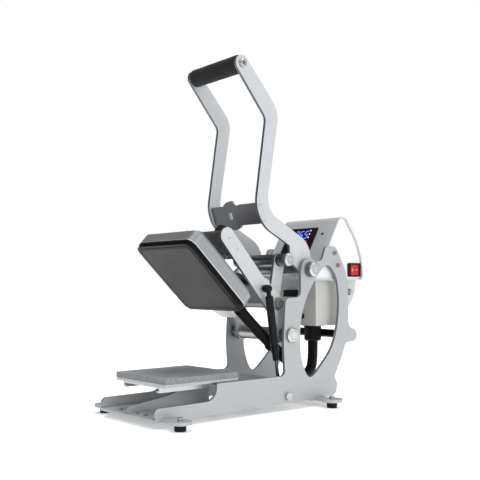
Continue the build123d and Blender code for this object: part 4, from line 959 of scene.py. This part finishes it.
def make_panel_screws():
    screw_rights, screw_up, radius = (-48.0 * mm, 56.6 * mm), 16.0 * mm, 2.6 * mm
    for number, right in enumerate(screw_rights):
        place = on_display(right, screw_up, -display_thickness)
        name = f"panel_screw_{number + 1}"
        button_screw(name, place, display_out, radius, "frame", black_steel)


make_panel_screws()

# Turned details on the pivots' end faces

pivot_reach = 16 * mm
groove_depth, groove_sunk = 0.12 * mm, 0.03 * mm


def end_face(node, back, height, side):
    """How far out a node's end lies near a pivot, towards +X or -X."""
    near = [
        vertex.co.x
        for vertex in frame["nodes"][node].data.vertices
        if (vertex.co.y - back) ** 2 + (vertex.co.z - height) ** 2 < pivot_reach**2
    ]
    return max(near) if side > 0 else min(near)


def ring_profile(inner, outer):
    """A thin flat ring with chamfered edges."""
    edge = 0.1 * mm
    return [(0.0, inner), (groove_depth, inner + edge), (groove_depth, outer - edge), (0.0, outer)]


def dark_detail(bm, name, body, smooth_angle=40):
    """A thin dark line or groove on a body."""
    piece = finish_piece(bm, name, groove_shade, smooth_angle)
    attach(piece, body)


groove_width = 0.7 * mm
pivots = {
    "clamshell": ("axle_caps", "frame", (44.3, 133.5), 7.2),
    "handle": ("axle_caps", "frame", (92.5, 252.5), 7.2),
    "toggle": ("toggle_shaft", "handle", (49.0, 270.5), 5.6),
    "knee": ("knee_caps", "upper_arm", (33.0, 190.0), 4.6),
}
hands = ((1, "right"), (-1, "left"))


def make_pivot_details():
    """A groove round each pivot's end faces, and a ring and a painted-shade socket on the grip's
    ends.
    """
    for key, (node, body, pivot, radius) in pivots.items():
        back, height = (size * mm for size in pivot)
        for side, hand in hands:
            direction = Vector((side, 0, 0))
            place = Vector((end_face(node, back, height, side), back, height))
            profile = ring_profile(radius * mm, radius * mm + groove_width)
            bm = lathe(profile, place - direction * groove_sunk, direction)
            dark_detail(bm, f"{key}_groove_{hand}", body)
    low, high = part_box("grip_rod")
    centre = middle("grip_rod")
    socket_profile = [(0.0, 1.2 * mm), (0.0, 2.5 * mm), (0.1 * mm, 2.4 * mm)]
    for (side, hand), start in zip(hands, (high.x, low.x)):
        place = Vector((start - side * groove_sunk, centre.y, centre.z))
        direction = Vector((side, 0, 0))
        ring = lathe(ring_profile(4.6 * mm, 5.6 * mm), place, direction)
        # The socket is a flat dark hexagon: painted shade standing in for the recess of a hex
        # socket.
        socket = lathe(socket_profile, place, direction, 6)
        dark_detail(ring, f"grip_end_{hand}_1", "handle")
        dark_detail(socket, f"grip_end_{hand}_2", "handle")


make_pivot_details()

# Dark joint lines round the plates' tabs, where they come through the arms


def tab_line(name, node, body, side):
    """A thin dark frame round the outer face of a plate's tab."""
    tab_depth = 0.05 * mm
    gap, width, lift, proud = 0.05 * mm, 0.75 * mm, 0.02 * mm, 0.06 * mm
    points = [vertex.co.copy() for vertex in frame["nodes"][node].data.vertices]
    face = max(side * point.x for point in points)
    corners = {}
    for point in points:
        if side * point.x > face - tab_depth:
            corners[(round(point.y, 5), round(point.z, 5))] = point
    corners = list(corners.values())
    centre = sum(corners, Vector()) / len(corners)
    corners.sort(key=lambda point: math.atan2(point.z - centre.z, point.y - centre.y))
    bm = bmesh.new()
    rings = []
    for grow, out in ((gap, lift), (width, lift), (width, proud), (gap, proud)):
        ring = []
        for corner in corners:
            away = (corner - centre).normalized()
            ring.append(bm.verts.new(corner + away * grow + Vector((side * out, 0, 0))))
        rings.append(ring)
    join_loops(bm, zip(rings, rings[1:] + rings[:1]))
    dark_detail(bm, name, body, 30)


for side, hand in hands:
    tab_line(f"armature_line_{hand}", "armature_plate", "handle", side)
    tab_line(f"yoke_line_{hand}", "front_yoke_plate", "upper_arm", side)

# Bolt and spacer stack inside each heater arm, seen in the gap above the heater's cover


def in_platen(across, back, rise):
    """A point in the heated platen's own axes, in mm from the middle of its face."""
    offset = Vector((across, 0, 0)) * mm + platen_back * back * mm + platen_up * rise * mm
    return platen_centre + offset


arm_inner_face = 55.0
bolt_back, bolt_rise = 30.7, 72.0
stack_across, stack_back, stack_rise = 50.0, 52.0, 70.0
stack_length, stack_core = 44.0, 3.2
bolt_profile = [
    (-0.3, 3.0),
    (0.0, 5.6),
    (5.0, 5.8),
    (9.0, 5.2),
    (10.4, 3.6),
    (10.4, 2.2),
    (7.5, 2.1),
]
washer_profile = [(0.0, 3.3), (0.2, 4.4), (2.6, 4.4), (2.8, 3.3)]
washer_places = (6.2, 12.2, 18.6)
spacer_steps = [
    (0.0, 3.4),
    (3.0, 4.6),
    (6.5, 3.2),
    (9.0, 4.6),
    (12.5, 3.2),
    (15.5, 4.6),
    (19.0, 3.2),
    (22.0, 4.6),
    (25.5, 3.2),
]


def arm_piece(name, profile, start, direction, material):
    """A turned piece on the upper arm, from a profile in mm."""
    scaled = [(along * mm, radius * mm) for along, radius in profile]
    piece = finish_piece(lathe(scaled, start, direction, 32), name, material, 35)
    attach(piece, "upper_arm")


def make_arm_hardware():
    stack_profile = []
    for along, radius in spacer_steps:
        stack_profile += [(along, radius - 0.3), (along + 0.3, radius)]
        stack_profile += [(along + 2.9, radius), (along + 3.0, radius - 0.3)]
    stack_profile.append((stack_length, stack_core))
    for side, hand in hands:
        start = Vector((side * arm_inner_face * mm, *in_platen(0, bolt_back, bolt_rise).yz))
        name = f"arm_bolt_{hand}"
        arm_piece(name, bolt_profile, start, (-side, 0, 0), black_steel)
        start = in_platen(side * stack_across, stack_back, stack_rise)
        name = f"arm_spacers_{hand}"
        arm_piece(name, stack_profile, start, platen_back, bright_steel)
        for number, along in enumerate(washer_places):
            start = in_platen(side * stack_across, stack_back + along, stack_rise)
            name = f"arm_washer_{hand}_{number + 1}"
            arm_piece(name, washer_profile, start, platen_back, black_steel)


make_arm_hardware()

# Thumb screw on the lower housing

thumb_back, thumb_height = 229.5, 209.0
thumb_washer_profile = [(-0.2, 3.0), (0.0, 6.2), (1.4, 6.0), (1.6, 3.0)]
thumb_head_profile = [(1.6, 3.0), (1.7, 4.6), (6.4, 4.6), (7.0, 3.9), (7.0, 1.0)]
knurl_start, knurl_end, knurl_share = 1.65 * mm, 6.5 * mm, 0.92


def make_thumb_screw():
    """A black washer and a zinc head, knurled by drawing in every other vertex."""
    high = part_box("lower_housing")[1]
    place = Vector((high.x, thumb_back * mm, thumb_height * mm))
    scaled = [
        [(along * mm, radius * mm) for along, radius in profile]
        for profile in (thumb_washer_profile, thumb_head_profile)
    ]
    washer = lathe(scaled[0], place, (1, 0, 0))
    head = lathe(scaled[1], place, (1, 0, 0), 56)
    for number, vertex in enumerate(list(head.verts)):
        if number % 2 and knurl_start < vertex.co.x - place.x < knurl_end:
            offset = vertex.co - place
            vertex.co = place + Vector((offset.x, offset.y * knurl_share, offset.z * knurl_share))
    for name, bm, material, slot_name in (
        ("thumb_washer", washer, black_steel, "black_oxide"),
        ("thumb_screw", head, zinc, "zinc"),
    ):
        piece = finish_piece(bm, name, material, 30)
        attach(piece, "frame")


make_thumb_screw()

# Rocker marks: a ring for off and a bar for on

rocker_lean = math.radians(7)
rocker_middle_lift, rocker_slope = 4.8 * mm, 1.6 / 12.6
mark_lift = 0.12 * mm
ring_place, bar_place = -6.4 * mm, 6.2 * mm
ring_inner, ring_outer, ring_segments = 1.7 * mm, 2.5 * mm, 24
bar_half_length, bar_half_height = 2.3 * mm, 0.45 * mm


def make_rocker_marks():
    """Marks that lie on the rocker's two slopes, which rise from its middle to its ends."""
    out = Vector((math.cos(rocker_lean), math.sin(rocker_lean), 0))
    along = Vector((-math.sin(rocker_lean), math.cos(rocker_lean), 0))
    pivot = Vector(joints["rocker_tilt"]["pos_m"])
    pivot.z = middle("power_rocker").z
    bm = bmesh.new()

    def mark_vertex(offset, height):
        lift = rocker_middle_lift + abs(offset) * rocker_slope + mark_lift
        return bm.verts.new(pivot + along * offset + out * lift + Vector((0, 0, height)))

    inner, outer = [], []
    for index in range(ring_segments):
        angle = 2 * math.pi * index / ring_segments
        for radius, ring in ((ring_inner, inner), (ring_outer, outer)):
            right, up = radius * math.cos(angle), radius * math.sin(angle)
            ring.append(mark_vertex(ring_place + right, up))
    join_loops(bm, [(inner, outer)])
    corners = []
    for right, up in ((-1, -1), (1, -1), (1, 1), (-1, 1)):
        corners.append(mark_vertex(bar_place + right * bar_half_length, up * bar_half_height))
    bm.faces.new(corners)
    piece = finish_piece(bm, "rocker_marks", white_mark, 30)
    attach(piece, "power_rocker")


make_rocker_marks()
